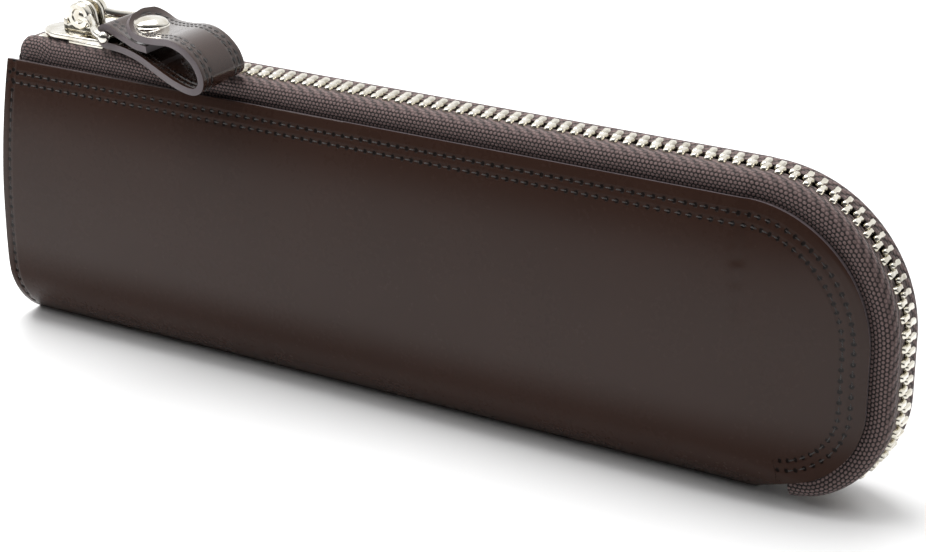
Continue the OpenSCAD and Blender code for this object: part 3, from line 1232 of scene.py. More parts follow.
@dataclass
class LeatherShell:
    """The outer leather of both halves, with rounded cut edges."""

    form: CaseForm
    hinge: Hinge
    leather: bpy.types.Material
    cut_edge: bpy.types.Material
    thick: float = 1.6
    rounding: float = 0.32

    def build(self) -> None:
        """Makes the front and back leather."""
        for side in Side:
            node = f"leather_{side.name.lower()}"
            place_halves(side, self.hinge, node, lambda name, part: self._panel(name, side, part))

    def _panel(self, name: str, side: Side, stretch: Stretch) -> bpy.types.Object:
        """Makes one leather panel.

        Args:
            name: Its name.
            side: Which half.
            stretch: Which part of its length.

        Returns:
            The piece.
        """
        form = self.form
        outer, inner, place = form.sheet(side, 0.0, self.thick, 0.0, form.left, stretch, side is Side.BACK)
        flip = side is Side.BACK
        points, faces, slots = slab(outer, inner, flip)
        maps = {"edge": np.vstack([place.reshape(-1, 2)] * 2)}
        piece = make_piece(name, points, faces, [self.leather, self.cut_edge], slots, maps)

        def chosen(middle: Vector) -> bool:
            """Says whether an edge is a cut edge that shows."""
            at_part = abs(middle.x - form.part_x) < 0.01
            at_fold = middle.z < self.thick + 0.3 and abs(middle.x - form.left) > 0.5 and middle.x < form.base_end - 0.2
            return not at_part and not at_fold

        round_edges(piece, self.rounding, 3, chosen)
        return piece


@dataclass
class Lining:
    """The suede lining of both halves."""

    form: CaseForm
    hinge: Hinge
    suede: bpy.types.Material
    depth: float = 2.16
    thick: float = 0.4
    start: float = -92.8

    def build(self) -> None:
        """Makes the lining of both halves."""
        for side in Side:
            node = f"lining_{side.name.lower()}"
            place_halves(side, self.hinge, node, lambda name, part: self._sheet(name, side, part))

    def _sheet(self, name: str, side: Side, stretch: Stretch) -> bpy.types.Object:
        """Makes one sheet of lining.

        Args:
            name: Its name.
            side: Which half.
            stretch: Which part of its length.

        Returns:
            The piece.
        """
        outer, inner, _ = self.form.sheet(side, self.depth, self.thick, 1.0, self.start, stretch, side is Side.BACK)
        points, faces, slots = slab(outer, inner, side is Side.BACK)
        return make_piece(name, points, faces, [self.suede], [0] * len(slots))


@dataclass
class Gusset:
    """The leather cup that closes the left end, with a soft vertical fold, and its lining."""

    form: CaseForm
    leather: bpy.types.Material
    cut_edge: bpy.types.Material
    suede: bpy.types.Material
    depth: float = 2.16
    thick: float = 0.9
    recess: float = 5.5
    fold_r: float = 1.6
    top: float = 56.3

    def build(self) -> None:
        """Makes the gusset and its lining."""
        wall_x = self.form.left + self.recess
        outer = self._cup(self.depth, wall_x, self.form.left + 0.35)
        inner = self._cup(self.depth + self.thick, wall_x + self.thick, self.form.left + 0.35)
        points, faces, slots = slab(outer, inner, False)
        piece = make_piece("end_gusset_skin", points, faces, [self.leather, self.cut_edge], slots)
        round_edges(piece, 0.22, 2, lambda m: True)
        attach(piece, "case")
        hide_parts("end_gusset")
        LOG.info("end_gusset_skin: %d faces", len(piece.data.polygons))
        lining_x = wall_x + self.thick + 0.05
        outer = self._cup(self.depth + self.thick + 0.03, lining_x, lining_x - 0.8)
        inner = self._cup(self.depth + self.thick + 0.43, lining_x + 0.4, lining_x - 0.8)
        points, faces, slots = slab(outer, inner, False)
        piece = make_piece("gusset_lining_skin", points, faces, [self.suede], [0] * len(slots))
        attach(piece, "case")
        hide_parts("gusset_lining")
        LOG.info("gusset_lining_skin: %d faces", len(piece.data.polygons))

    def _cup(self, depth: float, wall_x: float, mouth_x: float) -> Array:
        """Returns a cup's grid: each column goes from the mouth on one side to the wall's middle.

        Args:
            depth: Distance below the form.
            wall_x: Where the wall stands.
            mouth_x: Where the mouth stands.

        Returns:
            Rows × columns × 3 points.
        """
        form = self.form
        z = np.concatenate([[0.0], np.linspace(0.4, self.top, 40)])
        x_row = np.full_like(z, form.left)
        flank = form.face(x_row, np.maximum(z, 1e-4), Side.BACK, depth)[:, 1:]
        base_y = np.linspace(0.0, form.crease_y, 4)[:-1]
        half = np.vstack([np.c_[base_y, np.full(len(base_y), depth)], flank])
        half = half[half[:, 1] <= self.top]
        rim = np.vstack([half[::-1] * [-1, 1], half[1:]])
        centre_z = rim[:, 1].clip(depth + 6.0, None)
        rows = []
        for k in range(6):
            rows.append((mouth_x + (wall_x - self.fold_r - mouth_x) * k / 5, 0.0))
        for k in range(1, 6):
            a = k / 5 * math.pi / 2
            rows.append((wall_x - self.fold_r + self.fold_r * math.sin(a), self.fold_r * (1 - math.cos(a))))
        grid = []
        for x, inward in rows:
            away = np.c_[rim[:, 0], rim[:, 1] - centre_z]
            length = np.maximum(np.linalg.norm(away, axis=1), 1e-6)
            moved = away * ((length - inward) / length)[:, None]
            grid.append(np.c_[np.full(len(rim), x), moved[:, 0], moved[:, 1] + centre_z])
        last = grid[-1]
        for share in (0.85, 0.65, 0.45, 0.28, 0.14, 0.05):
            away = np.c_[last[:, 1], last[:, 2] - centre_z]
            fold = 0.9 * math.exp(-((share / 0.3) ** 2))
            grid.append(np.c_[np.full(len(rim), wall_x) - fold, away[:, 0] * share, away[:, 1] * share + centre_z])
        return np.array(grid)


@dataclass
class Tape:
    """The woven tape: an arch over each leather edge, higher under the slider's parking place, and a hem inside."""

    form: CaseForm
    hinge: Hinge
    cloth: bpy.types.Material
    thick: float = 0.5
    crown: float = 3.85
    bulge: float = 0.25
    inner_y: float = 1.25
    shoulder: float = 2.3
    foot_rise: float = -0.8
    hump: float = 0.55
    hem: float = 7.0
    end_angle: float = 84.0

    def build(self) -> None:
        """Makes the tape of both halves."""
        for side in Side:
            node = f"zip_tape_{side.name.lower()}"
            place_halves(side, self.hinge, node, lambda name, part: self._ribbon(name, side, part))

    def _section(self, edge_half: float, lift: float, slit: float) -> tuple[Array, Array]:
        """Returns the ribbon's section at one place.

        Args:
            edge_half: Half the thickness of the case at the edge.
            lift: How much the crown is raised.
            slit: Distance of the inner border from the middle.

        Returns:
            Distances from the middle and rises over the leather edge, from the inner border to the foot.
        """
        foot = edge_half - 1.8
        r = self.shoulder
        top = self.crown + lift
        turn_y = foot + 0.35 - r
        flat = np.linspace(slit, turn_y, 9)[:-1]
        swell = self.bulge * np.clip((flat - 2.4) / (turn_y - 2.4), 0, 1) ** 1.5
        a = np.linspace(0, math.pi / 2, 11)
        arc_y = turn_y + r * np.sin(a)
        arc_e = top + self.bulge - r * (1 - np.cos(a))
        leg_e = np.linspace(top + self.bulge - r, self.foot_rise, 6)[1:]
        leg_y = foot + 0.35 * np.linspace(1, 0, 6)[1:] ** 0.8
        return np.concatenate([flat, arc_y, leg_y]), np.concatenate([top + swell, arc_e, leg_e])

    def _ribbon(self, name: str, side: Side, stretch: Stretch) -> bpy.types.Object:
        """Makes one ribbon.

        Args:
            name: Its name.
            side: Which half.
            stretch: Which part of its length.

        Returns:
            The piece.
        """
        form = self.form
        top, corner, end, _ = form.edge_length()
        last = top + corner + end + math.radians(self.end_angle) * form.low_r
        start_s, part_s = 5.0, form.part_x - form.left
        s_from = start_s if stretch is not Stretch.RIGHT else part_s
        s_to = part_s if stretch is Stretch.LEFT else last
        s = np.linspace(s_from, s_to, round((s_to - s_from) / 1.1) + 1)
        px, pz, angle = form.edge(s)
        half_edge = form.half(np.minimum(px, form.right - 0.01), np.minimum(pz, form.height - 0.01))
        columns, lengths, acrosses = [], [], []
        hem_d = np.array([1.6, 3.2, 5.0, self.hem])

        def add(place: float, x: float, z: float, a: float, h: float, curl: float, drop: float) -> None:
            """Adds one section, curled over the left end by curl from 0 to 1 and then lowered by drop."""
            lift = self.hump * float(1 - ease((place - 28.0) / 16.0))
            slit = self.inner_y - (self.inner_y - 0.12) * float(1 - ease((place - 7.0) / 4.0))
            y, rise = self._section(h, lift, slit)
            across = np.concatenate([[0.0], np.cumsum(np.hypot(np.diff(y), np.diff(rise)))])
            if curl > 0:
                turn = curl * math.pi / 2
                high = rise * math.cos(turn) ** 0.55 if curl < 1 else rise * 0.0
                xx = np.full_like(y, x) - 3.2 * math.sin(turn) ** 0.7
                zz = z + np.where(rise > 0, high, rise) - drop
                point = np.stack([xx, y * (1 - 0.12 * curl), zz], -1)
                inner = np.repeat(point[-1:], len(hem_d), 0) - np.c_[0 * hem_d, 0 * hem_d, hem_d * 0.4]
            else:
                point = np.stack([x + rise * math.cos(a), y, z + rise * math.sin(a)], -1)
                hx, hz = x - hem_d * math.cos(a), z - hem_d * math.sin(a)
                inner = form.face(hx, hz, Side.BACK, 1.66)
            columns.append(np.vstack([point, inner]))
            acrosses.append(np.concatenate([across, across[-1] + hem_d]))
            lengths.append(place)

        if stretch is not Stretch.RIGHT:
            for k in (6, 5, 4, 3, 2, 1, 0):
                add(start_s - 3.2 - k * 0.5, px[0], pz[0], angle[0], half_edge[0], 1.0, k * 0.5)
            for curl in (0.93, 0.85, 0.75, 0.62, 0.48, 0.34, 0.2, 0.08):
                add(start_s - 3.2 * curl, px[0], pz[0], angle[0], half_edge[0], curl, 0.0)
        for place, x, z, a, h in zip(s, px, pz, angle, half_edge):
            add(float(place), float(x), float(z), float(a), float(h), 0.0, 0.0)
        outer = np.array(columns).transpose(1, 0, 2)
        along = np.gradient(outer, axis=1)
        across_dir = np.gradient(outer, axis=0)
        normal = np.cross(across_dir, along)
        normal /= np.maximum(np.linalg.norm(normal, axis=-1, keepdims=True), 1e-9)
        inner = outer + normal * self.thick
        middle = outer[4, outer.shape[1] // 2]
        if (normal[4, outer.shape[1] // 2] @ (np.array([0.0, 0.0, -1.0]))) < 0 and middle[2] > 40:
            inner = outer - normal * self.thick
        for grid in (outer, inner):
            grid[..., 1] *= side.value
        flip = side is Side.BACK
        points, faces, slots = slab(outer, inner, not flip)
        place = np.stack([np.repeat(np.array(lengths)[None, :], outer.shape[0], 0), np.array(acrosses).T], -1)
        maps = {"tape": np.vstack([place.reshape(-1, 2)] * 2)}
        return make_piece(name, points, faces, [self.cloth], [0] * len(slots), maps, sharp_from=60.0)


@dataclass
class Chain:
    """The metal teeth and stops."""

    form: CaseForm
    hinge: Hinge
    rows: RowMaker
    nickel: bpy.types.Material
    pitch: float = 2.7
    count: int = 87
    start: float = 10.8
    middle: float = 3.6

    def build(self) -> None:
        """Makes both rows of teeth and the stops."""
        for side in Side:
            node = f"zip_teeth_{side.name.lower()}"
            place_halves(side, self.hinge, node, lambda name, part: self._row(name, side, part))
            self._top_stop(side)
        self._bottom_stop()

    def _line(self, side: Side) -> Array:
        """Returns the middle of each tooth along the chain."""
        form = self.form
        top, _, end, _ = form.edge_length()
        run = [top - self.start, (form.top_r + self.middle) * math.pi / 2, end]
        s = 0.575 + np.arange(self.count) * self.pitch + (self.pitch / 2 if side is Side.FRONT else 0.0)
        # distance along the chain turned into distance along the leather edge
        a = np.minimum(s, run[0])
        b = np.clip(s - run[0], 0, run[1]) * form.top_r / (form.top_r + self.middle)
        c = np.clip(s - run[0] - run[1], 0, run[2])
        d = np.clip(s - sum(run), 0, None) * form.low_r / (form.low_r + self.middle)
        x, z, _ = form.edge(self.start + a + b + c + d, self.middle)
        return np.stack([x, np.zeros_like(x), z], -1)

    def _tooth(self, side: Side) -> tuple[Array, list[tuple[int, ...]]]:
        """Returns one tooth: a rounded bar that clamps the tape, narrow at the waist, with a rounded head."""
        stations = [
            (2.95, 0.36, 0.6),
            (2.8, 0.6, 0.95),
            (2.35, 0.74, 1.1),
            (1.6, 0.73, 1.1),
            (1.05, 0.56, 1.02),
            (0.6, 0.56, 1.04),
            (0.1, 0.64, 1.04),
            (-0.35, 0.58, 0.9),
            (-0.6, 0.34, 0.5),
        ]
        ring = 8
        points = []
        for y, half_w, half_h in stations:
            for k in range(ring):
                a = (k + 0.5) * 2 * math.pi / ring
                c, s = math.cos(a), math.sin(a)
                points.append(
                    (half_w * math.copysign(abs(c) ** 0.6, c), y * side.value, half_h * math.copysign(abs(s) ** 0.6, s))
                )
        faces: list[tuple[int, ...]] = []
        for i in range(len(stations) - 1):
            for k in range(ring):
                a, b = i * ring + k, i * ring + (k + 1) % ring
                faces.append((a, b, b + ring, a + ring))
        faces += [tuple(range(ring))[::-1], tuple((len(stations) - 1) * ring + k for k in range(ring))]
        if side is Side.FRONT:
            faces = [f[::-1] for f in faces]
        return np.array(points), faces

    def _row(self, name: str, side: Side, stretch: Stretch) -> bpy.types.Object:
        """Makes one row of teeth.

        Args:
            name: Its name.
            side: Which half.
            stretch: Which part of its length.

        Returns:
            The piece.
        """
        line = self._line(side)
        if stretch is Stretch.LEFT:
            line = line[line[:, 0] < self.form.part_x]
        elif stretch is Stretch.RIGHT:
            line = line[line[:, 0] >= self.form.part_x]
        return self.rows.build(name, [line], self._tooth(side), self.pitch, self.nickel, 0.02, 50.0)

    def _top_stop(self, side: Side) -> None:
        """Makes the stop at the left end of one row.

        Args:
            side: Which half.
        """
        low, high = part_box(f"top_stop_{side.name.lower()}")
        piece = self._block(f"top_stop_{side.name.lower()}_clip", low, high)
        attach(piece, "case")
        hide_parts(f"top_stop_{side.name.lower()}")
        LOG.info("%s: %d faces", piece.name, len(piece.data.polygons))

    def _block(self, name: str, low: Vector, high: Vector) -> bpy.types.Object:
        """Makes a crimped clip in a box: a waisted bar with rounded edges.

        Args:
            name: Its name.
            low: Lowest corner in metres.
            high: Highest corner in metres.

        Returns:
            The piece.
        """
        c, h = (low + high) / (2 * MM), (high - low) / (2 * MM)
        x = np.linspace(-1, 1, 7)
        waist = 1 - 0.14 * np.cos(x * math.pi / 2) ** 2
        outline = np.vstack(
            [
                np.c_[c.x + h.x * x, c.y - h.y * waist],
                np.c_[c.x + h.x * x[::-1], c.y + h.y * waist[::-1]],
            ]
        )
        points, faces = prism(outline, c.z - h.z, c.z + h.z)
        piece = make_piece(name, points, faces, [self.nickel])
        round_edges(piece, 0.3, 3, lambda m: True, 30.0)
        return piece

    def _bottom_stop(self) -> None:
        """Makes the bright box under the low corner that ends the chain."""
        form = self.form
        points, faces = [], []
        for angle, length in ((-79.5, 3.3), (-66.5, 1.3)):
            a = math.radians(angle)
            r0, r1 = form.low_r + 2.5, form.low_r + 4.7
            half_a = length / (2 * r1)
            ring = []
            for r in (r0, r1):
                for y in (-2.75, 2.75):
                    for t in (-1, 1):
                        b = a + t * half_a
                        ring.append((form.low_c[0] + r * math.cos(b), y, form.low_c[1] + r * math.sin(b)))
            start = len(points)
            points += ring
            for quad in ((0, 1, 3, 2), (4, 6, 7, 5), (0, 4, 5, 1), (2, 3, 7, 6), (0, 2, 6, 4), (1, 5, 7, 3)):
                faces.append(tuple(start + i for i in quad))
        piece = make_piece("bottom_stop_box", np.array(points), faces, [self.nickel])
        face_outwards(piece)
        round_edges(piece, 0.35, 3, lambda m: True)
        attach(piece, "case")
        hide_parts("bottom_stop")
        LOG.info("bottom_stop_box: %d faces", len(piece.data.polygons))


def stitch_shape(length: float, thick: float) -> tuple[Array, list[tuple[int, ...]]]:
    """Returns one stitch: a short thread that dips at both ends.

    Args:
        length: Its length.
        thick: Its thickness.

    Returns:
        The points and faces.
    """
    ring, points = 6, []
    stations = [(-0.5, 0.35), (-0.4, 0.8), (-0.18, 1.0), (0.18, 1.0), (0.4, 0.8), (0.5, 0.35)]
    for x, r in stations:
        for k in range(ring):
            a = k * 2 * math.pi / ring
            points.append((x * length, r * thick / 2 * math.cos(a), r * thick / 2 * math.sin(a)))
    faces: list[tuple[int, ...]] = []
    for i in range(len(stations) - 1):
        for k in range(ring):
            a, b = i * ring + k, i * ring + (k + 1) % ring
            faces.append((a, b, b + ring, a + ring))
    faces += [tuple(range(ring))[::-1], tuple((len(stations) - 1) * ring + k for k in range(ring))]
    return np.array(points), [f[::-1] for f in faces]


@dataclass
class Stitching:
    """The double rows along the zip and the single row beside the gusset."""

    form: CaseForm
    hinge: Hinge
    rows: RowMaker
    thread: bpy.types.Material
    outer: float = 2.7
    inner: float = 4.7
    end: float = 2.0
    pitch: float = 2.1
    length: float = 1.4
    thick: float = 0.4
    sunk: float = 0.13

    def build(self) -> None:
        """Makes every row on both halves."""
        shape = stitch_shape(self.length, self.thick)
        for side in Side:
            word = side.name.lower()
            for label, inset, shift in (("outer", self.outer, 0.0), ("inner", self.inner, -0.4)):
                node = f"{label}_stitches_{word}"
                place_halves(
                    side,
                    self.hinge,
                    node,
                    lambda name, part: self.rows.build(
                        name, [self._line(side, inset, shift, part)], shape, self.pitch, self.thread, 0.06
                    ),
                )
            z = self._steps(5.0, self.form.height - 4.0, 0.0)
            line = self.form.face(np.full_like(z, self.form.left + self.end), z, side, self.sunk)
            piece = self.rows.build(f"gusset_stitches_{word}_sewn", [line], shape, self.pitch, self.thread, 0.06)
            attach(piece, "case")
            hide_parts(f"gusset_stitches_{word}")
            LOG.info("%s: %d faces", piece.name, len(piece.data.polygons))

    def _steps(self, low: float, high: float, shift: float) -> Array:
        """Returns places a pitch apart, midway between the pricked holes.

        Args:
            low: The least place.
            high: The greatest.
            shift: Share of a pitch by which the holes are moved.

        Returns:
            The places.
        """
        first = math.ceil(low / self.pitch)
        return (np.arange(first, int(high / self.pitch)) + shift) * self.pitch

    def _line(self, side: Side, inset: float, shift: float, stretch: Stretch) -> Array:
        """Returns the stitches' places along one row.

        Args:
            side: Which half.
            inset: Distance from the zip edge.
            shift: Share of a pitch by which the holes are moved.
            stretch: Which part of the length.

        Returns:
            The places.
        """
        form = self.form
        top, corner, end, low = form.edge_length()
        s = self._steps(self.end + 2.2, top + corner + end + low * 0.98, shift)
        x, z, _ = form.edge(s, -inset)
        line = form.face(x, z, side, self.sunk)
        if stretch is Stretch.LEFT:
            return line[line[:, 0] < form.part_x]
        if stretch is Stretch.RIGHT:
            return line[line[:, 0] >= form.part_x]
        return line


@dataclass
class Slider:
    """The slider's plates, its crown with the cover, and the lock spring."""

    nickel: bpy.types.Material
    half: float = 4.9
    nose: float = 5.3

    def build(self) -> None:
        """Makes the slider's three pieces."""
        low, high = (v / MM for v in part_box("slider_body"))
        crown_low, crown_high = (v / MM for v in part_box("slider_crown"))
        self._body(low, high)
        self._crown(crown_low, crown_high)
        self._spring()

    def _plan(self, x0: float, x1: float, half: float, nose: float) -> Array:
        """Returns a plate's outline: a round nose, soft shoulders and a slightly narrower tail.

        Args:
            x0: Left end.
            x1: Right end.
            half: Half width.
            nose: Radius of the nose.

        Returns:
            The outline.
        """
        turn = np.linspace(1.5 * math.pi, 0.5 * math.pi, 15)
        left = np.c_[x0 + nose + nose * np.cos(turn), np.sin(turn) * min(nose, half)]
        tail = np.array([[x1 - 5.0, half * 0.98], [x1 - 0.8, half * 0.93], [x1, half * 0.84]])
        return np.vstack([left, tail, tail[::-1] * [1, -1]])[::-1]

    def _body(self, low: Vector, high: Vector) -> None:
        """Makes the two plates, the post and the side flanges.

        Args:
            low: Lowest corner of the CAD body.
            high: Highest corner.
        """
        x0, x1 = low.x, high.x
        post_x = x0 + 3.4
        parts = [
            prism(self._plan(x0, x1, self.half, self.nose), high.z - 1.2, high.z),
            prism(self._plan(x0, x1, 4.2, 4.2), low.z, low.z + 1.0),
        ]
        ring = np.linspace(0, 2 * math.pi, 16, endpoint=False)
        parts.append(
            prism(np.c_[post_x + np.cos(ring), np.sin(ring)], low.z + 0.6, high.z - 0.7)
        )
        for side in (-1, 1):
            y0, y1 = sorted((side * self.half * 0.985, side * (self.half - 0.85)))
            flange = np.array([[x1 - 9.5, y0], [x1 - 0.4, y0], [x1 - 0.4, y1], [x1 - 9.5, y1]])
            parts.append(prism(flange, high.z - 1.95, high.z - 0.9))
        points, faces = join(parts)
        piece = make_piece("slider_body_plates", points, faces, [self.nickel])
        round_edges(piece, 0.34, 3, lambda m: True, 30.0)
        self._fit(piece, "slider_body")

    def _crown(self, low: Vector, high: Vector) -> None:
        """Makes the cover on the plate and the arch that holds the puller.

        Args:
            low: Lowest corner of the CAD crown.
            high: Highest corner.
        """
        pivot_x, pivot_z = (low.x + high.x) / 2, 68.0
        parts = []
        for side in (-1, 1):
            x = np.linspace(low.x, high.x, 15)
            t = (x - pivot_x) / ((high.x - low.x) / 2)
            rise = low.z + 1.2 + 1.0 * (1 - np.abs(t) ** 3)
            bump = 3.0 * np.sqrt(np.clip(1 - (t / 0.62) ** 2, 0, None))
            top = np.maximum(rise, np.where(np.abs(t) < 0.62, pivot_z + bump - 0.05, 0))
            outline = np.vstack([np.c_[x, np.full_like(x, low.z)], np.c_[x[::-1], top[::-1]]])
            y0, y1 = sorted((side * 0.6, side * 1.5))
            p, f = prism(outline, y0, y1)
            p = p[:, [0, 2, 1]]
            parts.append((p, [q[::-1] for q in f]))
        # the small upright at the cover's left end
        upright = np.array([[low.x - 0.5, -1.6], [low.x + 0.5, -1.6], [low.x + 0.5, 1.6], [low.x - 0.5, 1.6]])
        parts.append(prism(upright, low.z - 0.1, low.z + 2.5))
        points, faces = join(parts)
        piece = make_piece("slider_crown_arch", points, faces, [self.nickel])
        round_edges(piece, 0.26, 3, lambda m: True, 30.0)
        self._fit(piece, "slider_crown")

    def _spring(self) -> None:
        """Makes the thin bowed spring in the crown's slot."""
        low, high = (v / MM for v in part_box("lock_spring"))
        x = np.linspace(low.x, high.x, 13)
        bow = 0.35 * np.cos((x - (low.x + high.x) / 2) / (high.x - low.x) * math.pi)
        outer = np.array([[(a, y, high.z + b) for a, b in zip(x, bow)] for y in (low.y, high.y)])
        inner = outer - [0, 0, 0.3]
        points, faces, slots = slab(outer, inner, False)
        piece = make_piece("lock_spring_leaf", points, faces, [self.nickel], [0] * len(slots))
        self._fit(piece, "lock_spring")

    @staticmethod
    def _fit(piece: bpy.types.Object, node: str) -> None:
        """Rides a piece on the slider in place of its CAD node."""
        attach(piece, "slider")
        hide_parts(node)
        LOG.info("%s: %d faces", piece.name, len(piece.data.polygons))


@dataclass
class Puller:
    """The puller: two round lugs on the crown, arms that spread, and the bar that holds the strap."""

    nickel: bpy.types.Material
    pivot: tuple[float, float] = (-83.8, 68.0)
    bar: tuple[float, float] = (-73.7, 66.0)
    lug_in: float = 1.75
    lug_t: float = 1.65
    lug_r: float = 2.8
    arm_y: float = 7.74

    def build(self) -> None:
        """Makes the puller."""
        parts = []
        px, pz = self.pivot
        for side in (-1, 1):
            a, b = side * self.lug_in, side * (self.lug_in + self.lug_t)
            profile = [
                (0, a),
                (self.lug_r * 0.9, a),
                (self.lug_r, a + side * 0.25),
                (self.lug_r, b - side * 0.35),
                (self.lug_r * 0.9, b),
                (1.62, b + side * 0.02),
                (1.4, b - side * 0.3),
                (0, b - side * 0.36),
            ]
            parts.append(lathe(profile, (px, 0, pz), "Y", 36))
            parts.append(self._arm(side))
            bx, bz = self.bar
            end = [(0, 8.75), (0.8, 8.6), (1.25, 8.1), (1.3, 7.6), (1.1, 6.9), (0.9, 6.6), (0, 6.5)]
            parts.append(lathe([(r, y * side) for r, y in end], (bx, 0, bz), "Y", 20))
        parts.append(lathe([(0, -3.0), (1.0, -2.9), (1.0, 2.9), (0, 3.0)], (px, 0, pz), "Y", 20))
        parts.append(lathe([(0, -8.0), (0.9, -7.9), (0.9, 7.9), (0, 8.0)], (self.bar[0], 0, self.bar[1]), "Y", 20))
        points, faces = join(parts)
        piece = make_piece("puller_frame", points, faces, [self.nickel], sharp_from=40.0)
        face_outwards(piece)
        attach(piece, "puller")
        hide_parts("puller")
        LOG.info("puller_frame: %d faces", len(piece.data.polygons))

    def _arm(self, side: int) -> tuple[Array, list[tuple[int, ...]]]:
        """Returns one arm: an oval bar swept from the lug outwards to the strap's bar.

        Args:
            side: The sign of Y.

        Returns:
            The points and faces.
        """
        px, pz = self.pivot
        bx, bz = self.bar
        mid = self.lug_in + self.lug_t / 2
        route = smooth_route(
            np.array(
                [
                    (px + 0.2, mid, pz + 0.1),
                    (px + 2.6, mid + 0.25, pz - 0.35),
                    (px + 4.9, mid + 1.9, pz - 0.85),
                    (px + 7.3, self.arm_y - 0.9, pz - 1.35),
                    (bx, self.arm_y, bz),
                ]
            ),
            5,
        )
        size = np.interp(np.linspace(0, 1, len(route)), [0, 0.25, 0.6, 1], [1.35, 1.15, 0.95, 0.95])
        ring, points = 10, []
        for i, centre in enumerate(route):
            ahead = route[min(i + 1, len(route) - 1)] - route[max(i - 1, 0)]
            ahead /= np.linalg.norm(ahead)
            across = np.cross([0, 0, 1.0], ahead)
            across /= np.linalg.norm(across)
            up = np.cross(ahead, across)
            for k in range(ring):
                a = 2 * math.pi * k / ring
                points.append(centre + across * (0.82 * math.cos(a)) + up * (size[i] * math.sin(a)))
        faces: list[tuple[int, ...]] = []
        for i in range(len(route) - 1):
            for k in range(ring):
                a, b = i * ring + k, i * ring + (k + 1) % ring
                faces.append((a, b, b + ring, a + ring))
        faces += [tuple(range(ring))[::-1], tuple((len(route) - 1) * ring + k for k in range(ring))]
        p = np.array(points)
        p[:, 1] *= side
        return p, faces


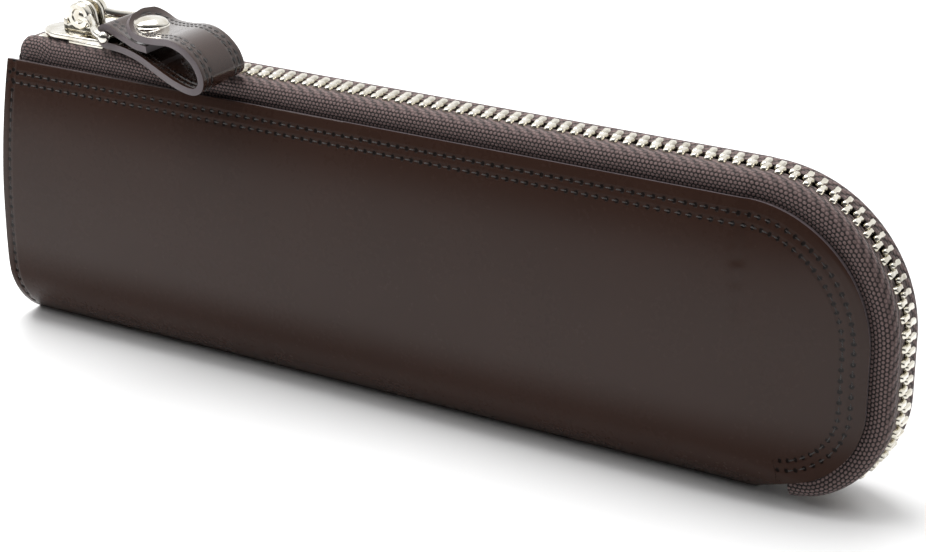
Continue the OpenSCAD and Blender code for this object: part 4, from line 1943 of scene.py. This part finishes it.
@dataclass
class PullStrap:
    """The looped leather strap with its rounded tongue, double stitching and dome stud."""

    rows: RowMaker
    leather: bpy.types.Material
    cut_edge: bpy.types.Material
    thread: bpy.types.Material
    nickel: bpy.types.Material
    width: float = 13.6
    thick: float = 1.4
    skew: float = 11.2
    skew_length: float = 31.0
    bar: tuple[float, float] = (-73.7, 66.0)
    left: float = -99.85
    height: float = 57.8

    def route(self) -> Array:
        """Returns the strap's route from the tongue's tip to its hidden end, as (X, Z, lift of the far edge)."""
        bx, bz = self.bar
        r = 0.9 + 0.3 + self.thick / 2
        over = [
            (30.4, 12.9, 0.0),
            (32.2, 11.2, 0.0),
            (35.3, 10.15, 0.0),
            (39.5, 10.5, 0.0),
            (44.2, 11.45, 0.0),
            (48.8, 12.45, 0.0),
            (52.1, 12.45, 0.0),
            (54.8, 11.55, 0.0),
            (56.9, 9.9, 0.0),
            (58.0, 8.0, 0.1),
            (58.4, 6.2, 0.4),
            (57.9, 4.85, 0.7),
            (56.6, 4.15, 0.9),
            (54.6, 4.15, 0.9),
            (51.4, 4.55, 0.9),
            (47.0, 5.1, 0.8),
            (41.9, 5.55, 0.4),
            (36.7, 5.9, 0.1),
            (31.5, 6.1, 0.0),
        ]
        wrap = [
            (bx + r * math.cos(math.radians(a)), bz + r * math.sin(math.radians(a)), 0.0)
            for a in range(-90, -271, -30)
        ]
        under = [(28.6, 9.3, 0.0), (31.7, 8.6, 0.0), (35.5, 8.15, 0.0), (40.2, 8.65, 0.0)]
        shift = np.array([self.left, self.height, 0.0])
        return np.vstack([np.array(over) + shift, np.array(wrap), np.array(under) + shift])

    def middle_y(self, x: Array) -> Array:
        """Returns the middle of the strap's width at places along X."""
        return -self.skew * ease((np.asarray(x) - self.bar[0]) / self.skew_length)

    def build(self) -> None:
        """Makes the strap, its stitching and its stud."""
        curve = smooth_route(self.route(), 5)
        ahead = np.gradient(curve[:, :2], axis=0)
        ahead /= np.linalg.norm(ahead, axis=1, keepdims=True)
        up = np.stack([-ahead[:, 1], ahead[:, 0]], -1)
        length = np.concatenate([[0.0], np.cumsum(np.linalg.norm(np.diff(curve[:, :2], axis=0), axis=1))])
        across = np.concatenate([[0.0, 0.03, 0.07], np.linspace(0.12, 0.88, 13), [0.93, 0.97, 1.0]])
        # the tongue's end is a half circle, slightly flattened
        end_r = self.width / 2
        reach = np.clip(length / (end_r * 0.92), 0, 1)
        share = np.clip(1 - (1 - reach) ** 2.6, 0.002, 1) ** (1 / 2.6)

        def at(lift: float) -> Array:
            """Returns the grid of one face, lifted over the route."""
            grid = []
            for a in across:
                b = 0.5 + (a - 0.5) * share
                x = curve[:, 0] + up[:, 0] * lift
                z = curve[:, 1] + curve[:, 2] * b + up[:, 1] * lift
                y = self.middle_y(curve[:, 0]) + self.width * (b - 0.5)
                grid.append(np.stack([x, y, z], -1))
            return np.array(grid)

        outer, inner = at(self.thick / 2), at(-self.thick / 2)
        points, faces, slots = slab(outer, inner, True)
        spread = np.stack(
            [
                np.repeat(length[None, :], len(across), 0),
                np.array([(0.5 - np.abs(0.5 + (a - 0.5) * share - 0.5)) * self.width for a in across]),
            ],
            -1,
        )
        # the map's second number is the distance from the nearer long edge, and near the tip from the round end
        tip = end_r - np.hypot(
            np.clip(end_r - length[None, :], 0, None), np.array([(a - 0.5) * share * self.width for a in across])
        )
        spread[..., 1] = np.where(length[None, :] < end_r, tip, spread[..., 1])
        maps = {"edge": np.vstack([spread.reshape(-1, 2)] * 2)}
        piece = make_piece("pull_strap_leather", points, faces, [self.leather, self.cut_edge], slots, maps)
        face_outwards(piece)
        round_edges(piece, 0.26, 3, lambda m: True, 50.0)
        self._fit(piece, "pull_strap", "strap_leather")
        self._stitches(curve, up, length)
        self._stud()

    def _stitches(self, curve: Array, up: Array, length: Array) -> None:
        """Makes two rows that follow the tongue's round end and both long edges.

        Args:
            curve: The strap's route.
            up: Its upward directions.
            length: Distance along it.
        """
        last = 46.0
        end_r = self.width / 2
        lines = []
        for inset in (1.45, 2.85):
            r = end_r - inset
            arc = [(end_r - r * math.cos(t), r * math.sin(t)) for t in np.linspace(-math.pi / 2, math.pi / 2, 24)]
            path = [(last, -r)] + [(v, -r) for v in np.arange(last - 1, end_r, -1.0)]
            path += arc + [(v, r) for v in np.arange(end_r + 1, last + 1, 1.0)]
            points = []
            for along, side in path:
                c = np.array([np.interp(along, length, curve[:, i]) for i in range(3)])
                u = np.array([np.interp(along, length, up[:, i]) for i in range(2)])
                lift = self.thick / 2 - 0.06
                share = 0.5 + side / self.width
                points.append(
                    (
                        c[0] + u[0] * lift,
                        float(self.middle_y(c[0])) + side,
                        c[1] + c[2] * share + u[1] * lift,
                    )
                )
            lines.append(np.array(points))
        shape = stitch_shape(1.25, 0.42)
        piece = self.rows.build("strap_stitches_sewn", lines, shape, 1.9, self.thread, 0.05)
        self._fit(piece, "strap_stitches", "thread")

    def _stud(self) -> None:
        """Makes the domed stud and the post under it."""
        low, high = (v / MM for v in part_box("stud_cap"))
        centre = ((low.x + high.x) / 2, (low.y + high.y) / 2, low.z)
        r = (high.x - low.x) / 2
        rise = high.z - low.z
        profile = [(0.0, rise)]
        for t in np.linspace(0.15, 1.0, 9):
            turn = t * math.pi / 2
            profile.append((r * 0.93 * math.sin(turn), 0.35 + (rise - 0.35) * math.cos(turn) ** 0.9))
        profile += [(r * 0.97, 0.28), (r, 0.12), (r * 0.98, -0.05), (r * 0.9, -0.1), (0.0, -0.1)]
        points, faces = lathe(profile, centre, "Z", 40)
        piece = make_piece("stud_cap_dome", points, faces, [self.nickel], sharp_from=50.0)
        face_outwards(piece)
        self._fit(piece, "stud_cap", "nickel_slider")
        low, high = (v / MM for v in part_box("stud_post"))
        profile = [(0.0, high.z), (1.2, high.z - 0.05), (1.2, low.z + 0.35), (2.3, low.z + 0.3), (2.5, low.z + 0.15)]
        profile += [(2.35, low.z), (0.0, low.z)]
        points, faces = lathe(profile, (centre[0], centre[1], 0.0), "Z", 28)
        piece = make_piece("stud_post_rivet", points, faces, [self.nickel], sharp_from=50.0)
        self._fit(piece, "stud_post", "nickel_slider")

    @staticmethod
    def _fit(piece: bpy.types.Object, node: str, slot: str) -> None:
        """Rides a piece on the strap in place of its CAD node."""
        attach(piece, "strap")
        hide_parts(node)
        LOG.info("%s: %d faces", piece.name, len(piece.data.polygons))


# ---------------------------------------------------------------------------------------------------------------------
# Studio
# ---------------------------------------------------------------------------------------------------------------------


@dataclass
class Studio:
    """The floor, the lights and the camera."""

    azimuth: float = 31.0
    elevation: float = 21.6
    distance: float = 0.471
    target: tuple[float, float, float] = (0.00725, 0.0, 0.0276)
    focal: float = 93.3

    def build(self) -> None:
        """Makes the studio."""
        self._camera()
        self._floor()
        self._world()
        self._light("overhead", (-0.25, 0.1, 0.9), (0.0, -0.03, 0.0), 0.7, 9.0)
        self._light("left_floor", (-0.42, -0.3, 0.42), (-0.22, -0.2, 0.0), 0.3, 0.7)

    def _camera(self) -> None:
        """Makes the camera."""
        a, e = math.radians(self.azimuth), math.radians(self.elevation)
        back = Vector((math.sin(a) * math.cos(e), -math.cos(a) * math.cos(e), math.sin(e)))
        data = bpy.data.cameras.new("camera")
        data.lens, data.sensor_width = self.focal, 36.0
        data.clip_start, data.clip_end = 0.01, 20.0
        camera = bpy.data.objects.new("camera", data)
        camera.location = Vector(self.target) + back * self.distance
        camera.rotation_mode = "QUATERNION"
        camera.rotation_quaternion = (-back).to_track_quat("-Z", "Y")
        bpy.context.scene.collection.objects.link(camera)
        bpy.context.scene.camera = camera

    def _floor(self) -> None:
        """Makes the plain pale floor."""
        g = Graph("pale_floor")
        dust = g.noise(14.0, 2.0)
        finish = g.dress(Base_Color=g.mix(dust, (0.9, 0.9, 0.9), (0.94, 0.94, 0.94)), Roughness=0.35)
        size, low = 3000.0, -0.02
        corners = np.array([(-size, -size, low), (size, -size, low), (size, size, low), (-size, size, low)])
        floor = make_piece("floor", corners, [(0, 1, 2, 3)], [finish])

    @staticmethod
    def _world() -> None:
        """Sets a surround that is bright behind and overhead, and dim low in front."""
        world = bpy.data.worlds.new("surround")
        bpy.context.scene.world = world
        world.use_nodes = True
        tree = world.node_tree
        slant = tree.nodes.new("ShaderNodeVectorMath")
        slant.operation = "DOT_PRODUCT"
        tree.links.new(tree.nodes.new("ShaderNodeTexCoord").outputs["Generated"], slant.inputs[0])
        slant.inputs[1].default_value = (-0.55, 1.0, 1.0)
        ramp = tree.nodes.new("ShaderNodeMapRange")
        ramp.interpolation_type = "SMOOTHSTEP"
        for label, value in (("From Min", -0.4), ("From Max", 1.0), ("To Min", 0.06), ("To Max", 1.1)):
            ramp.inputs[label].default_value = value
        tree.links.new(slant.outputs["Value"], ramp.inputs["Value"])
        tree.nodes["Background"].inputs["Color"].default_value = (1.0, 1.0, 1.0, 1.0)
        tree.links.new(ramp.outputs[0], tree.nodes["Background"].inputs["Strength"])
        bpy.context.scene.view_settings.view_transform = "Standard"

    @staticmethod
    def _light(name: str, place: tuple, aim: tuple, size: float, power: float) -> None:
        """Makes one soft light.

        Args:
            name: Its name.
            place: Where it stands, in metres.
            aim: What it faces.
            size: Its side, in metres.
            power: Its power, in watts.
        """
        data = bpy.data.lights.new(name, "AREA")
        data.shape, data.size, data.energy = "SQUARE", size, power
        light = bpy.data.objects.new(name, data)
        light.location = place
        light.rotation_mode = "QUATERNION"
        light.rotation_quaternion = (Vector(aim) - Vector(place)).to_track_quat("-Z", "Y")
        bpy.context.scene.collection.objects.link(light)


def main() -> None:
    """Builds every sub-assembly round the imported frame."""
    logging.basicConfig(level=logging.INFO, format="%(name)s %(message)s")
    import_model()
    low, high = (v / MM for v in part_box("leather_front"))
    form = CaseForm(left=low.x, right=high.x, height=high.z, half_full=-low.y)
    hinge = Hinge(form)
    rows = RowMaker()
    leather = GlossyLeather("case_leather", rows=(2.7, 4.7), end_row=form.left + 2.0).build()
    plain_leather = GlossyLeather("gusset_leather", coat=0.2, roughness=0.38).build()
    strap_leather = GlossyLeather(
        "strap_leather", rows=(1.45, 2.85), pitch=1.9, coat=0.8, coat_roughness=0.07, roughness=0.26
    ).build()
    cut_edge = CutEdge("cut_edge").build()
    suede = Suede("lining_suede").build()
    cloth = ZipTape("zip_tape_weave").build()
    teeth_nickel = Nickel("teeth_nickel").build()
    slider_nickel = Nickel("slider_nickel", clean=(0.84, 0.82, 0.77), roughness=0.14).build()
    thread = Thread("sewing_thread").build()
    Studio().build()
    LeatherShell(form, hinge, leather, cut_edge).build()
    Lining(form, hinge, suede).build()
    Gusset(form, plain_leather, cut_edge, suede).build()
    Tape(form, hinge, cloth).build()
    Chain(form, hinge, rows, teeth_nickel).build()
    Stitching(form, hinge, rows, thread).build()
    Slider(slider_nickel).build()
    Puller(slider_nickel).build()
    PullStrap(rows, strap_leather, cut_edge, thread, slider_nickel).build()


if __name__ == "__main__":
    main()
